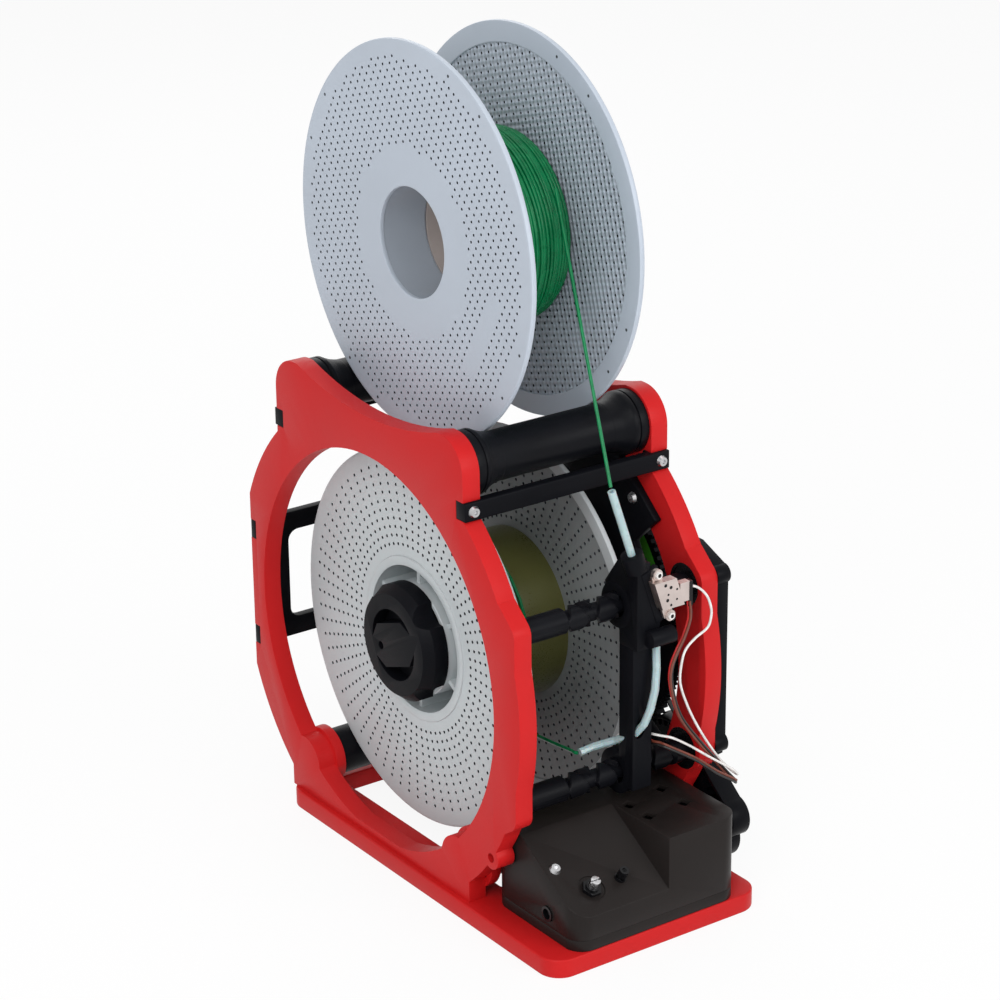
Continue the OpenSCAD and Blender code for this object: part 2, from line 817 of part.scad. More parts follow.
module donor_spool() {
    centre = [donor_y, donor_z];
    inner_wall_r = spool_bore_r + 1.7;
    between = spool_w - 2 * hub_end_t;
    color("lightsteelblue") {
        flanges(donor_x, centre, spool_bore_r);
        sleeve(donor_left + 1, spool_w - 2, donor_barrel_r, donor_barrel_r - 2.5, centre);
        sleeve(donor_left + hub_end_t - 1, between + 2, inner_wall_r + 2, inner_wall_r, centre);
        difference() {
            for (s = [donor_left, donor_left + spool_w - hub_end_t])
                sleeve(s, hub_end_t, donor_barrel_r - 1, spool_bore_r, centre);
            for (i = [0:2])
                translate([donor_left + spool_w - hub_end_t - 1, centre[0], centre[1]])
                    rotate([i * 120, 0, 0])
                        translate([0, -7, spool_bore_r + 4.2])
                            cube([hub_end_t + 2, 14, 4.6]);
        }
    }
}

// Outer layer of turns on the donor spool, wound over a plain core
function coil_point(i) =
    let (turn = i * 360 / coil_steps)
    [coil_x + i * coil_pitch / coil_steps, donor_y + coil_r * cos(turn), donor_z + coil_r * sin(turn)];
echo(least_gap_between_donor_turns = coil_pitch - filament_d);

module donor_filament() {
    core_half = donor_inside - 0.3;
    core_r = coil_r * cos(180 / coil_steps) - filament_d / 2 - 0.1;
    color("seagreen") {
        sleeve(donor_x - core_half, 2 * core_half, core_r, donor_barrel_r + fit, [donor_y, donor_z]);
        cord([for (i = [0:wound_turns * coil_steps]) coil_point(i)], filament_d / 2, 6);
    }
}

module take_up_spool() {
    centre = from_axis(axis_c);
    rim_lip = 1;
    ribs = 6;
    color("lightsteelblue") {
        flanges(take_up_x, centre, recess_r);
        for (x = [take_up_left - rim_lip, take_up_right - 0.1])
            sleeve(x, rim_lip + 0.1, recess_r + 5, recess_r, centre);
        sleeve(take_up_left + 1, spool_w - 2, barrel_r, recess_r, centre);
        sleeve(take_up_left, spool_w, hub_tube_r, spool_bore_r, centre);
        for (i = [0:ribs - 1])
            translate([take_up_left + 3, centre[0], centre[1]])
                rotate([30 + i * 360 / ribs, 0, 0])
                    translate([0, hub_tube_r - 1, -1.25])
                        cube([spool_w - 6, recess_r - hub_tube_r + 2, 2.5]);
        sleeve(take_up_x - 1, 2, recess_r + 1, hub_tube_r - 1, centre);
    }
}

function wind_point(i) =
    let (turn = -93 + i * 15)
    [0.4 + i * wind_pitch / 24, wind_r * cos(turn), axis_z + wind_r * sin(turn)];

// First turns on the take-up spool, running in under the barrel
module take_up_filament() {
    color("seagreen")
        cord([for (i = [0:first_turns * 24]) wind_point(i)], filament_d / 2, 8);
}

module take_up_shaft() {
    centre = from_axis(axis_c);
    collar_x = wind_x + wind_w - 0.1;
    color("silver") {
        rod(shaft_left, step_x - shaft_left, shaft_r, centre);
        rod(step_x, shaft_right - step_x, end_shaft_r, centre);
        translate([0, centre[0], centre[1]])
            slab(wind_x, wind_w)
                gear_outline(wind_pinion_teeth, fine_m, 0);
        rod(collar_x, drive_x - seat - collar_x, fine_m * wind_pinion_teeth / 2 - 1.2, centre);
    }
}

// Plug that carries the spool on its shaft and stops it on the drive side
module take_up_adapter() {
    centre = from_axis(axis_c);
    color("black")
        difference() {
            union() {
                rod(take_up_left + 8, spool_w - 8 + 0.1, adapter_r, centre);
                rod(take_up_right + seat, adapter_flange_t, adapter_flange_r, centre);
            }
            rod(take_up_left, spool_w + 10, shaft_r + seat, centre);
            for (i = [0:5])
                rod(take_up_left, spool_w - 4, 6, centre + 16.5 * [cos(i * 60), sin(i * 60)]);
        }
}

// Screw-on knob: four finger scallops round it and a hexagonal wing bar in its face
module clamp_knob() {
    centre = from_axis(axis_c);
    scallops = 4;
    color("black")
        difference() {
            union() {
                rod(knob_x + 5, knob_t - 5, knob_back_r, centre);
                translate([knob_x, centre[0], centre[1]])
                    rotate([0, 90, 0])
                        cylinder(h = 5, r1 = knob_front_r, r2 = knob_back_r);
            }
            for (i = [0:scallops - 1])
                rod(knob_x - 1, knob_t + 2, 9, centre + 36 * [cos(45 + i * 90), sin(45 + i * 90)]);
            difference() {
                rod(knob_x - 1, 9, 19, centre);
                translate([0, centre[0], centre[1]])
                    slab(knob_x - 1, 9)
                        rotate(-20)
                            polygon([
                                [-19.5, -4], [-16, -7], [16, -7], [19.5, -4],
                                [19.5, 4], [16, 7], [-16, 7], [-19.5, 4]
                            ]);
            }
            rod(knob_x - 1, knob_t + 2, 2.2, centre + 12 * [cos(-20), sin(-20)]);
            rod(knob_x + 3, knob_t, shaft_r + fit, centre);
        }
}

// ---- Drive ----

// Round plate on the right panel's inner face with three arms and the housing of the shaft bearings
module drive_plate() {
    centre = from_axis(axis_c);
    color("dimgray")
        difference() {
            union() {
                rod(plate_x, plate_t, plate_disc_r, centre);
                rod(hub_left, hub_right - hub_left, hub_r, centre);
                translate([0, centre[0], centre[1]])
                    slab(plate_x, plate_t) {
                        for (arm = plate_arms)
                            rotate(180 - arm[0])
                                translate([0, -arm[1] / 2])
                                    square([arm[2], arm[1]]);
                        polygon([for (p = plate_sector) p[0] * [-cos(p[1]), sin(p[1])]]);
                    }
            }
            rod(hub_left - 1, hub_right - hub_left + 2, 10.5, centre);
            for (x = [hub_left - 1, hub_right - large_w])
                rod(x, large_w + 1, large_od + 0.03, centre);
            rod(plate_x - 1, plate_t + 2, 2, from_axis(reduction_c));
            for (a = plate_screw_angles)
                rod(plate_x - 1, plate_t + 2, screw_r3, from_axis(plate_screw_r * [-cos(a), sin(a)]));
        }
}

module shaft_bearings() {
    color("silver")
        for (x = [hub_left, hub_right - large_w])
            ball_bearing(x, large_w, large_od, shaft_r + fit, from_axis(axis_c));
}

module gear_pins() {
    color("silver") {
        rod(inner_x + 0.1, drive_x + gear_w + 0.2 - inner_x, 2.5 - seat, from_axis(large_idler_c));
        rod(drive_x - 1.6, gear_w + 3.4, 1.98, from_axis(small_idler_c));
        rod(plate_x + 0.1, belt_x + belt_w + 0.4 - plate_x, 1.98, from_axis(reduction_c));
    }
}

module ring_gear() {
    centre = from_axis(axis_c);
    color("dimgray")
        difference() {
            translate([0, centre[0], centre[1]])
                slab(drive_x, gear_w)
                    gear_outline(ring_teeth, gear_m, 0);
            rod(drive_x - 1, gear_w + 2, ring_bore, centre);
            rod(drive_x - 1, carrier_t + 1, carrier_r + 0.03, centre);
            for (i = [0:5])
                rod(drive_x, gear_w + 1, screw_r3, centre + 73.5 * [cos(i * 60), sin(i * 60)]);
        }
}

module gear_carrier() {
    centre = from_axis(axis_c);
    color("limegreen")
        difference() {
            union() {
                rod(drive_x, carrier_t - seat, carrier_r, centre);
                rod(drive_x, gear_w, 12, centre);
            }
            rod(drive_x - 1, gear_w + 2, end_shaft_r + seat, centre);
            for (i = [0:5])
                rod(drive_x - 1, gear_w, screw_r3, centre + 73.5 * [cos(i * 60), sin(i * 60)]);
        }
}

module carrier_screws() {
    color("silver")
        for (i = [0:5])
            translate(concat([drive_x + gear_w], from_axis(73.5 * [cos(i * 60), sin(i * 60)])))
                rotate([0, 90, 0])
                    button_screw(4.5);
}

module shaft_nut() {
    color("silver")
        difference() {
            translate(concat([nut_x], from_axis(axis_c)))
                rotate([0, 90, 0])
                    cylinder(h = 6.5, r = 7.5, $fn = 6);
            rod(nut_x - 1, 9, end_shaft_r + seat, from_axis(axis_c));
        }
}

module large_idler() {
    centre = from_axis(large_idler_c);
    color("dimgray")
        difference() {
            gear(drive_x, gear_w, large_idler_teeth, gear_m, large_idler_phase, 2.5 + 0.04, centre);
            for (x = [drive_x - 1, drive_x + gear_w - 1.2])
                sleeve(x, 2.2, 25, 7, centre);
        }
}

module small_idler() {
    color("dimgray")
        gear(drive_x, gear_w, small_idler_teeth, gear_m, small_idler_phase, 2.03, from_axis(small_idler_c));
}

// Motor's output shaft with the pinion on its end
module motor_pinion() {
    centre = from_axis(motor_c);
    color("goldenrod") {
        gear(drive_x, gear_w, pinion_teeth, gear_m, pinion_phase, output_r - 0.1, centre);
        rod(motor_right - 7.8, drive_x + gear_w + 0.8 - motor_right + 7.8, output_r, centre);
    }
}

// Large gear on the plate's pin with the small belt pulley on its outer side
module reduction_gear() {
    centre = from_axis(reduction_c);
    color("dimgray")
        difference() {
            union() {
                gear(wind_x, wind_w, reduction_teeth, fine_m, reduction_phase, 2.03, centre);
                rod(wind_x + 1, belt_x - wind_x - 1.3, small_pulley_r + 1.6, centre);
                rod(belt_x - 0.4, belt_w + 0.7, small_pulley_r, centre);
            }
            rod(wind_x - 1, 20, 2.03, centre);
        }
}

module screw_pulley(c) {
    color("dimgray")
        difference() {
            union() {
                rod(outer_x + 0.3, belt_x - 0.15 - outer_x - 0.3, screw_pulley_r + 0.5, from_axis(c));
                rod(outer_x + 0.4, belt_x + belt_w + 0.2 - outer_x - 0.4, screw_pulley_r, from_axis(c));
            }
            rod(outer_x - 1, 8, journal_r + seat, from_axis(c));
        }
}

module upper_pulley() {
    screw_pulley(screw_cs[0]);
}

module lower_pulley() {
    screw_pulley(screw_cs[1]);
}

// Flat belt round both screw pulleys and the small pulley
function belt_touch(from, to) =
    let (run = to[0] - from[0], d = norm(run), turn = atan2(run[1], run[0]) - acos((from[1] - to[1]) / d))
    [cos(turn), sin(turn)];

module belt_area(extra) {
    for (s = belt_stops)
        translate(s[0])
            circle(r = s[1] + extra);
    polygon([
        for (i = [0:2])
            let (a = belt_stops[i], b = belt_stops[(i + 1) % 3], n = belt_touch(a, b))
                each [a[0] + (a[1] + extra) * n, b[0] + (b[1] + extra) * n]
    ]);
}

module drive_belt() {
    color("black")
        translate([0, 0, axis_z])
            slab(belt_x, belt_w)
                difference() {
                    belt_area(belt_t + seat);
                    belt_area(seat);
                }
}

// Stepped shell over the belt and the screws' pulleys, open towards the panel and at the back
module cover_area(inset) {
    for (c = cover_posts)
        translate(c)
            circle(r = cover_lobe - inset);
    translate([-121.5 + inset, -42])
        square([20, 92.2]);
    polygon([
        [-118.4, 55.2 - inset], [-101.5, 62 - inset], [-98, 62 - inset],
        [-98, -56 + inset], [-110, -56 + inset], [-119.5, -48.6 + inset]
    ]);
}

module gear_cover() {
    color("black")
        translate([0, 0, axis_z])
            difference() {
                union() {
                    difference() {
                        slab(outer_x + seat, cover_t)
                            cover_area(0);
                        slab(outer_x - 1, cover_t - cover_wall + 1)
                            cover_area(cover_wall);
                        translate([outer_x - 1, cover_back, -48])
                            cube([cover_t - cover_wall + 1, 10, 96]);
                    }
                    for (c = cover_posts)
                        rod(outer_x + seat, cover_t - 1, cover_post_r, c);
                }
                for (c = cover_posts)
                    rod(outer_x - 1, cover_t + 2, screw_r3, c);
                for (c = screw_cs)
                    rod(outer_x + cover_t - cover_wall - 1, cover_wall + 2, journal_r + 0.5, c);
                rod(drive_x - 1, 12, ring_r + gear_m + 1, axis_c);
                slab(motor_cover_x - 0.3, motor_cover_t)
                    motor_cover_area(-0.3);
            }
}

// Shell over the motor pinion and both idlers, screwed to the control box
module motor_cover_area(inset) {
    difference() {
        union() {
            translate(motor_c)
                circle(r = lobe_r + 1 - inset);
            translate(small_idler_c)
                circle(r = small_idler_r + 4 - inset);
            translate(large_idler_c)
                circle(r = large_idler_r + 3.6 - inset);
            polygon([
                motor_c + (lobe_r - inset) * [-0.64, 0.77], large_idler_c + [-24 + inset, 20 - inset],
                large_idler_c, small_idler_c, small_idler_c + [2, -9 + inset],
                motor_c + [-3, -lobe_r + inset]
            ]);
        }
        circle(r = 82.5 + inset);
    }
}

module motor_cover() {
    color("black")
        translate([0, 0, axis_z])
            difference() {
                union() {
                    difference() {
                        slab(motor_cover_x, motor_cover_t)
                            motor_cover_area(0);
                        slab(motor_cover_x - 1, motor_cover_t - cover_wall + 1)
                            motor_cover_area(cover_wall);
                    }
                    rod(drive_x + gear_w + 0.4, 3, 4, small_idler_c);
                }
                rod(drive_x, 8, 2, small_idler_c);
                rod(drive_x - 2, gear_w + 3, ring_r + gear_m + 1, axis_c);
            }
}

module cover_screws() {
    color("silver") {
        for (c = cover_posts)
            translate(concat([outer_x + cover_t + seat], from_axis(c)))
                rotate([0, 90, 0])
                    button_screw(10);
        translate([slope_screw_at[0], slope_screw_at[1], slope_height(slope_screw_at[1])])
            rotate([slope_a, 0, 0])
                button_screw(6);
    }
}

// ---- Control box ----

// Height of the lid's slope at a place in front of the take-up axis
function slope_height(y) = lid_z - (-slope_top - y) * tan(slope_a);

module box_plan(inset) {
    translate([-box_half_w + inset, -box_front + inset])
        round_rect([2 * (box_half_w - inset), box_front - box_back - 2 * inset], box_corner - inset);
}

// Side view of the lid: slope and top on the left, the tower's full height on the right
module lid_form(inset) {
    drop = inset / cos(slope_a);
    foot = parting_z - (inset > 0 ? 1 : 0);
    top = lid_z - inset;
    intersection() {
        union() {
            slab(-box_half_w, 2 * box_half_w)
                polygon([
                    [-box_front, foot], [-box_front, slope_height(-box_front) - drop],
                    [-slope_top - (drop - inset) / tan(slope_a), top], [-box_back, top], [-box_back, foot]
                ]);
            slab(tower_x + inset, box_half_w - tower_x)
                polygon([[-box_front, foot], [-box_front, top], [-box_back, top], [-box_back, foot]]);
        }
        translate([0, 0, foot - 1])
            linear_extrude(height = 80)
                box_plan(inset);
    }
}

module on_slope(place) {
    translate([place[0], place[1], slope_height(place[1])])
        rotate([slope_a, 0, 0])
            children();
}

module control_box_lid() {
    color("black")
        difference() {
            union() {
                difference() {
                    lid_form(0);
                    lid_form(box_wall);
                }
                on_slope(slope_screw_at)
                    translate([0, 0, -7])
                        cylinder(h = 6, r = 3.4);
            }
            for (v = vents)
                translate([v[0], v[1], lid_z - box_wall - 1])
                    rotate(20)
                        translate([-vent_w / 2, -vent_w / 2, 0])
                            cube([vent_w, vent_w, box_wall + 2]);
            on_slope(slope_screw_at)
                translate([0, 0, -8])
                    cylinder(h = 9, r = screw_r3);
            on_slope(pot_at) {
                translate([0, 0, -6])
                    cylinder(h = 8, r = 3.5);
                translate([0, 0, -0.8])
                    cylinder(h = 2, r = 7);
            }
            on_slope(toggle_at)
                translate([0, 0, -6])
                    cylinder(h = 8, r = 3);
            rod(-box_half_w - 1, box_wall + 2, 4.05, [jack_y, jack_z]);
            rod(motor_right - 1, box_wall + 3, 4.2, from_axis(motor_c));
        }
}

module control_box_tray() {
    posts = [for (x = [post_in - box_half_w, -4], y = [-146, -100]) [x, y]];
    color("black") {
        difference() {
            translate([0, 0, base_t + seat])
                linear_extrude(height = tray_h - 2 * seat)
                    box_plan(0);
            translate([0, 0, base_t + box_wall])
                linear_extrude(height = tray_h)
                    box_plan(box_wall);
        }
        for (p = posts)
            translate([p[0], p[1], base_t + box_wall - 0.1])
                cylinder(h = 2.1 - seat, r = post_r);
    }
}

module motor() {
    centre = from_axis(motor_c);
    color("silver") {
        difference() {
            union() {
                rod(motor_right - gearbox_l, gearbox_l, gearbox_r, centre);
                rod(motor_right - 0.1, box_wall + 2.2, 4, centre);
            }
            rod(motor_right - 8, 20, output_r + fit, centre);
        }
        rod(motor_right - gearbox_l - motor_l, motor_l + 0.1, can_r, centre);
        for (s = [-1, 1])
            translate([motor_right - gearbox_l - motor_l - 3, centre[0] + s * 6 - 0.4, centre[1] - 2])
                cube([3.1, 0.8, 4]);
    }
}

module circuit_board() {
    parts = [[8.5, -112, 12, 10, 6], [24.5, -118, 9, 14, 4], [16.5, -134, 8, 8, 7], [34.5, -110, 8, 8, 9]];
    board_left = box_wall + board_gap - box_half_w;
    color("darkgreen") {
        translate([board_left, -148, board_z])
            cube([-board_left, 52, 1.6]);
        for (p = parts)
            translate([board_left + p[0], p[1], board_z + 1.5])
                cube([p[2], p[3], p[4] + 0.1]);
    }
}

// Potentiometer under the slope with its nut in the recess
module speed_control() {
    color("silver")
        on_slope(pot_at)
            difference() {
                union() {
                    translate([0, 0, -box_wall - 5.5 - seat])
                        cylinder(h = 5.5, r = 7.5);
                    translate([0, 0, -box_wall - 0.1])
                        cylinder(h = box_wall + 2.6, r = 3.45);
                    translate([0, 0, -0.8 + seat])
                        cylinder(h = 2, r = 5.2, $fn = 6);
                }
                translate([0, 0, -box_wall - 4])
                    cylinder(h = 20, r = 2.55);
            }
}

// Slotted shaft that sets the speed
module speed_knob() {
    color("gray")
        on_slope(pot_at)
            difference() {
                translate([0, 0, -box_wall - 3.7])
                    cylinder(h = box_wall + 10.7, r = 2.5);
                translate([-4, -0.4, 5.5])
                    cube([8, 0.8, 3]);
            }
}

module direction_switch() {
    color("dimgray")
        on_slope(toggle_at)
            difference() {
                union() {
                    translate([-4, -6, -box_wall - 8])
                        cube([8, 12, 8 - seat]);
                    translate([0, 0, -box_wall - 0.2])
                        cylinder(h = box_wall + 1.4, r = 2.95);
                }
                translate([0, 0, -box_wall - 3])
                    cylinder(h = 12, r = 2.3);
            }
}

module toggle_lever() {
    color("black")
        on_slope(toggle_at) {
            translate([0, 0, -1.7])
                sphere(r = 2.25, $fn = 48);
            translate([0, 0, -1.7])
                cylinder(h = 8.5, r1 = 0.9, r2 = 1.5);
        }
}

module power_socket() {
    color("dimgray")
        difference() {
            union() {
                rod(-box_half_w - 0.6, box_wall + 0.7, 4, [jack_y, jack_z]);
                translate([-box_half_w + box_wall + seat, jack_y - 4.5, jack_z - 5])
                    cube([11, 9, 10]);
            }
            rod(-box_half_w - 2, 11, 2.8, [jack_y, jack_z]);
        }
    color("silver")
        rod(-box_half_w + 1, 8.5, 1, [jack_y, jack_z]);
}

// ---- Level wind ----

module lead_screw(c) {
    color("black") {
        rod(-inner_x + 0.2, 2 * inner_x - 0.4, screw_r, from_axis(c));
        rod(-inner_x - small_w + 0.2, 2 * small_w + 2 * inner_x - 0.4, journal_r, from_axis(c));
        rod(inner_x, belt_x + belt_w + 0.3 - inner_x, journal_r, from_axis(c));
    }
}

module upper_lead_screw() {
    lead_screw(screw_cs[0]);
}

module lower_lead_screw() {
    lead_screw(screw_cs[1]);
}

module carriage_column() {
    color("black")
        difference() {
            union() {
                translate([column_left, column_front, column_bottom])
                    cube([column_w, column_t, head_bottom - seat - column_bottom]);
                for (c = screw_cs)
                    rod(column_left, column_w, sleeve_r, from_axis(c));
                translate([carriage_x - tenon_w / 2, tenon_front, head_bottom - 1])
                    cube([tenon_w, tenon_t, tenon_top - head_bottom + 1]);
            }
            for (c = screw_cs) {
                rod(column_left - 1, column_w + 2, screw_r + fit, from_axis(c));
                translate([carriage_x, pawl_front, axis_z + c[1]])
                    rotate([-90, 0, 0])
                        cylinder(h = -screw_y - pawl_front, r = pawl_r + seat);
            }
            for (i = [0:7]) {
                strut(raised(outlet_route)[i], raised(outlet_route)[i + 1], tube_r + (i < 4 ? 0.3 : 1.2));
                if (i > 4)
                    translate(raised(outlet_route)[i])
                        sphere(r = tube_r + 1.2, $fn = 32);
            }
            on_path()
                translate([0, 0, -60])
                    cylinder(h = 70, r = tube_r + 0.25);
        }
}

// Moves children into the tilted path's frame, its origin on the path at the head's top face
module on_path() {
    translate([path_x, path_y, path_z])
        rotate([0, -path_tilt, 0])
            children();
}

// Moves children to the middle of the switch, in the tilted frame
module at_switch() {
    translate([switch_x, path_y, switch_z])
        rotate([0, -path_tilt, 0])
            children();
}

// Head's side outline swept across its front outline
module head_block() {
    intersection() {
        slab(column_left, 30)
            polygon([
                [head_front, head_bottom], [head_front, head_top], [head_back - 3, head_top],
                [head_back, head_top - 2], [-100, axis_z + 55], [-104, axis_z + 50],
                [column_front + column_t, axis_z + 45], [column_front + column_t, head_bottom]
            ]);
        translate([0, -90, 0])
            rotate([90, 0, 0])
                linear_extrude(height = 40)
                    polygon([
                        [column_left, head_bottom], [column_left, head_top], [column_left + 7.8, head_top],
                        [column_left + 7.2, axis_z + 67.3], [column_left + 14.2, axis_z + 38],
                        [column_left + column_w, head_bottom]
                    ]);
    }
}

module carriage_head() {
    color("black")
        difference() {
            union() {
                head_block();
                rod(column_left + 5, clip_l, clip_r, [clip_y, clip_z]);
                on_path()
                    translate([0, 0, -9])
                        cylinder(h = 9.5, r = tube_collar_r);
                at_switch()
                    translate([-7.5, support_front - path_y, -13.5])
                        cube([10, 3, 29]);
            }
            rod(column_left - 1, column_w + 20, sleeve_r + seat, from_axis(screw_cs[0]));
            translate([carriage_x - tenon_w / 2 - seat, tenon_front - seat, head_bottom - 1])
                cube([tenon_w + 2 * seat, tenon_t + 2 * seat, tenon_top - head_bottom + 1 + seat]);
            on_path() {
                translate([0, 0, -60])
                    cylinder(h = 70, r = tube_r + 0.25);
                translate([2.5, -8, -34])
                    cube([9, 6.5, 20]);
            }
            for (i = [0:1])
                strut(raised(outlet_route)[i], raised(outlet_route)[i + 1], tube_r + 0.3);
            at_switch()
                for (s = [-1, 1])
                    translate([0, 0, s * switch_pitch / 2])
                        rotate([90, 0, 0])
                            cylinder(h = 10, r = switch_screw_r + 0.1);
        }
}

module follower_pawls() {
    color("silver")
        for (c = screw_cs)
            translate([carriage_x, pawl_front, axis_z + c[1]])
                rotate([-90, 0, 0])
                    cylinder(h = pawl_l, r = pawl_r);
}

// Switch plate with two fixing ears, its slanted body and the cable's plug
module sensor_switch() {
    front = support_front - path_y - seat;
    body_w = 13.4;
    body_h = 15;
    body_t = 5.2;
    lean = body_h * tan(path_tilt);
    color("silver") {
        at_switch()
            difference() {
                union() {
                    translate([-3.4, front - 1.6, -switch_pitch / 2])
                        cube([5.6, 1.6, switch_pitch]);
                    for (s = [-1, 1])
                        translate([0, front, s * switch_pitch / 2])
                            rotate([90, 0, 0])
                                cylinder(h = 2.4, r = ear_of_switch_r);
                }
                for (s = [-1, 1])
                    translate([0, front + 1, s * switch_pitch / 2])
                        rotate([90, 0, 0])
                            cylinder(h = 8, r = switch_screw_r + 0.1);
            }
        translate([switch_x - 3, path_y + front, switch_z - 6.4])
            rotate([90, 0, 0])
                linear_extrude(height = body_t)
                    polygon([[0, 0], [body_w, 0], [body_w - lean, body_h], [-lean, body_h]]);
        translate([switch_x + 8, path_y + front - 4.6, switch_z - 5.2])
            cube([5.9, 4, 10]);
    }
}

module sensor_screws() {
    color("silver")
        at_switch()
            for (s = [-1, 1])
                translate([0, support_front - path_y - 2.4 - 2 * seat, s * switch_pitch / 2])
                    rotate([90, 0, 0])
                        cylinder(h = 1.2, r = switch_screw_r + 0.8);
    color("silver")
        at_switch()
            for (s = [-1, 1])
                translate([0, support_front - path_y - 3, s * switch_pitch / 2])
                    rotate([-90, 0, 0])
                        cylinder(h = 5.4, r = switch_screw_r);
}

// Blade that the filament holds down, in a pocket of the head behind the switch
module sensor_lever() {
    color("silver")
        on_path()
            translate([5.5, -4.2, -32])
                cube([0.8, 2.4, 16]);
}

module inlet_tube() {
    color("lightcyan")
        on_path()
            difference() {
                translate([0, 0, -14])
                    cylinder(h = 52, r = tube_r, $fn = 32);
                translate([0, 0, -15])
                    cylinder(h = 54, r = tube_bore, $fn = 24);
            }
}

module outlet_tube() {
    color("lightcyan")
        cord(raised(outlet_route), tube_r, 8);
}

module sensor_cable() {
    color("dimgray") {
        cord(raised(white_route), white_r, 8);
        cord(raised(bundle_route), bundle_r, 8);
    }
}

// Straight strand from the donor's turns to the inlet tube
module incoming_filament() {
    color("seagreen")
        cord([for (t = [0:0.25:1]) strand_foot + t * (strand_top - strand_foot)], filament_d / 2, 8);
}

module outgoing_filament() {
    strand = raised([
        [-7, -99.9, -34.1], [-7.9, -98.2, -34.3], [-7.2, -94, -34.8],
        [-6.4, -80, -37], [-4.2, -55, -40.8], [-1.5, -13, -46.3]
    ]);
    color("seagreen")
        cord(strand, filament_d / 2, 8);
}

base_plate();
left_side_panel();
right_side_panel();
front_cross_bar();
rear_cross_bar();
rear_handle();
front_spacer_tube();
rear_spacer_tube();
frame_screws();
roller_axles();
roller_bearings();
lead_screw_bearings();
drive_plate();
shaft_bearings();
gear_cover();
motor_cover();
cover_screws();
gear_pins();
control_box_tray();
control_box_lid();
motor();
circuit_board();
speed_control();
direction_switch();
power_socket();
drive_belt();
incoming_filament();
front_roller();
rear_roller();
donor_spool();
donor_filament();
take_up_shaft();
take_up_adapter();
take_up_spool();
take_up_filament();
ring_gear();
gear_carrier();
carrier_screws();
shaft_nut();
clamp_knob();
upper_lead_screw();
upper_pulley();
lower_lead_screw();
lower_pulley();
reduction_gear();
large_idler();
small_idler();
motor_pinion();
carriage_column();
carriage_head();
follower_pawls();
sensor_switch();
sensor_screws();
inlet_tube();
outlet_tube();
sensor_cable();
outgoing_filament();
sensor_lever();
speed_knob();
toggle_lever();
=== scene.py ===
"""Finish, small detail and light for a desktop filament re-spooler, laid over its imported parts.

Every piece is made in metres in the parts' own frame: X along the spool axes, -Y towards the
control box and Z up from the table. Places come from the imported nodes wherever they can."""

import json
import math
import random

import bmesh
import bpy
from mathutils import Matrix, Vector

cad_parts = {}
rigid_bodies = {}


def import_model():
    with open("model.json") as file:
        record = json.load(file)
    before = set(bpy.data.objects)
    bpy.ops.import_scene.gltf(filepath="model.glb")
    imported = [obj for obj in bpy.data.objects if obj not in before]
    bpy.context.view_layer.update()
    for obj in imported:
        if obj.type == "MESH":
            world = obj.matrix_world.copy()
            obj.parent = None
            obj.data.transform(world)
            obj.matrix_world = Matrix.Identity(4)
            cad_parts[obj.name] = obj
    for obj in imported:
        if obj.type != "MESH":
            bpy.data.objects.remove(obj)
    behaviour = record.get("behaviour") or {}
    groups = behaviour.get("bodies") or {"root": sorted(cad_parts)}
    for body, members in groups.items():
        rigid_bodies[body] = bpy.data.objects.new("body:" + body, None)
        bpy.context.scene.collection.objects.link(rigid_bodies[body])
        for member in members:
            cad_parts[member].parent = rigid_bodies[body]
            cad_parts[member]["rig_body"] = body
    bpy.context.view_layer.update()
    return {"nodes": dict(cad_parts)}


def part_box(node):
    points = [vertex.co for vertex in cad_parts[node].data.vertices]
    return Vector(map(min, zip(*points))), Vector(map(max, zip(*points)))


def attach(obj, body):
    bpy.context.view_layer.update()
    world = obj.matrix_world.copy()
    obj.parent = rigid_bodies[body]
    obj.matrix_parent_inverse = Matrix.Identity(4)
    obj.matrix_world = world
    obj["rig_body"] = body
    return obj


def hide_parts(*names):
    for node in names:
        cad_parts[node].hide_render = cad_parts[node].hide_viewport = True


bl_info = {
    "name": "Filament Re-spooler",
    "version": (1, 0, 0),
    "blender": (4, 5, 0),
    "location": "View3D > Sidebar > Re-spooler",
    "description": "Dresses a packed filament re-spooler with finishes, windings, wires and light",
    "category": "Object",
}

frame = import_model()

MM = 0.001
MERGE = 1e-6
FLAT = math.radians(0.6)
SHARP = math.radians(35)
ROUND, FINE_ROUND = 96, 144
HOLE_SIDES, HOLE_PHASE = 8, 0.7
MARK_SIDES = 16
FULL_TURN = 2 * math.pi


def middle(node):
    """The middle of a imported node's box."""
    low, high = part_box(node)
    return (low + high) / 2


def body_of(node):
    """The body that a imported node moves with."""
    return frame["nodes"][node]["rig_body"]


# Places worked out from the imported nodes
TAKE_UP = middle("take_up_spool")
DONOR = middle("donor_spool")
SPOOL_R = (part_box("donor_spool")[1].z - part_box("donor_spool")[0].z) / 2

# What both spools share, and how the holes in their flanges stand
FLANGE_T = 3.1 * MM
PLATE_T = 2.2 * MM
RIM_R = SPOOL_R - 1.2 * MM
BORE_R = 27.8 * MM
GRID_TURN = math.radians(29.4)
STRIP_COLUMNS = (-16, -15)
STRIP_ROWS = 5
EYELET_R = 95.7 * MM
EYELET_HALF = math.radians(8.7)
ROWS, ROW_HOLES = 70, 10
ROW_TURN = math.radians(-2.4)


# ---------------------------------------------------------------- sizes and colours


def length(name, text, value):
    """A length property in metres, its default given in millimetres."""
    return bpy.props.FloatProperty(
        name=name, description=text, default=value * MM, min=0.0, unit="LENGTH", precision=5
    )


def colour(name, text, value):
    """A colour property."""
    return bpy.props.FloatVectorProperty(
        name=name, description=text, default=value, size=3, min=0, max=1, subtype="COLOR"
    )


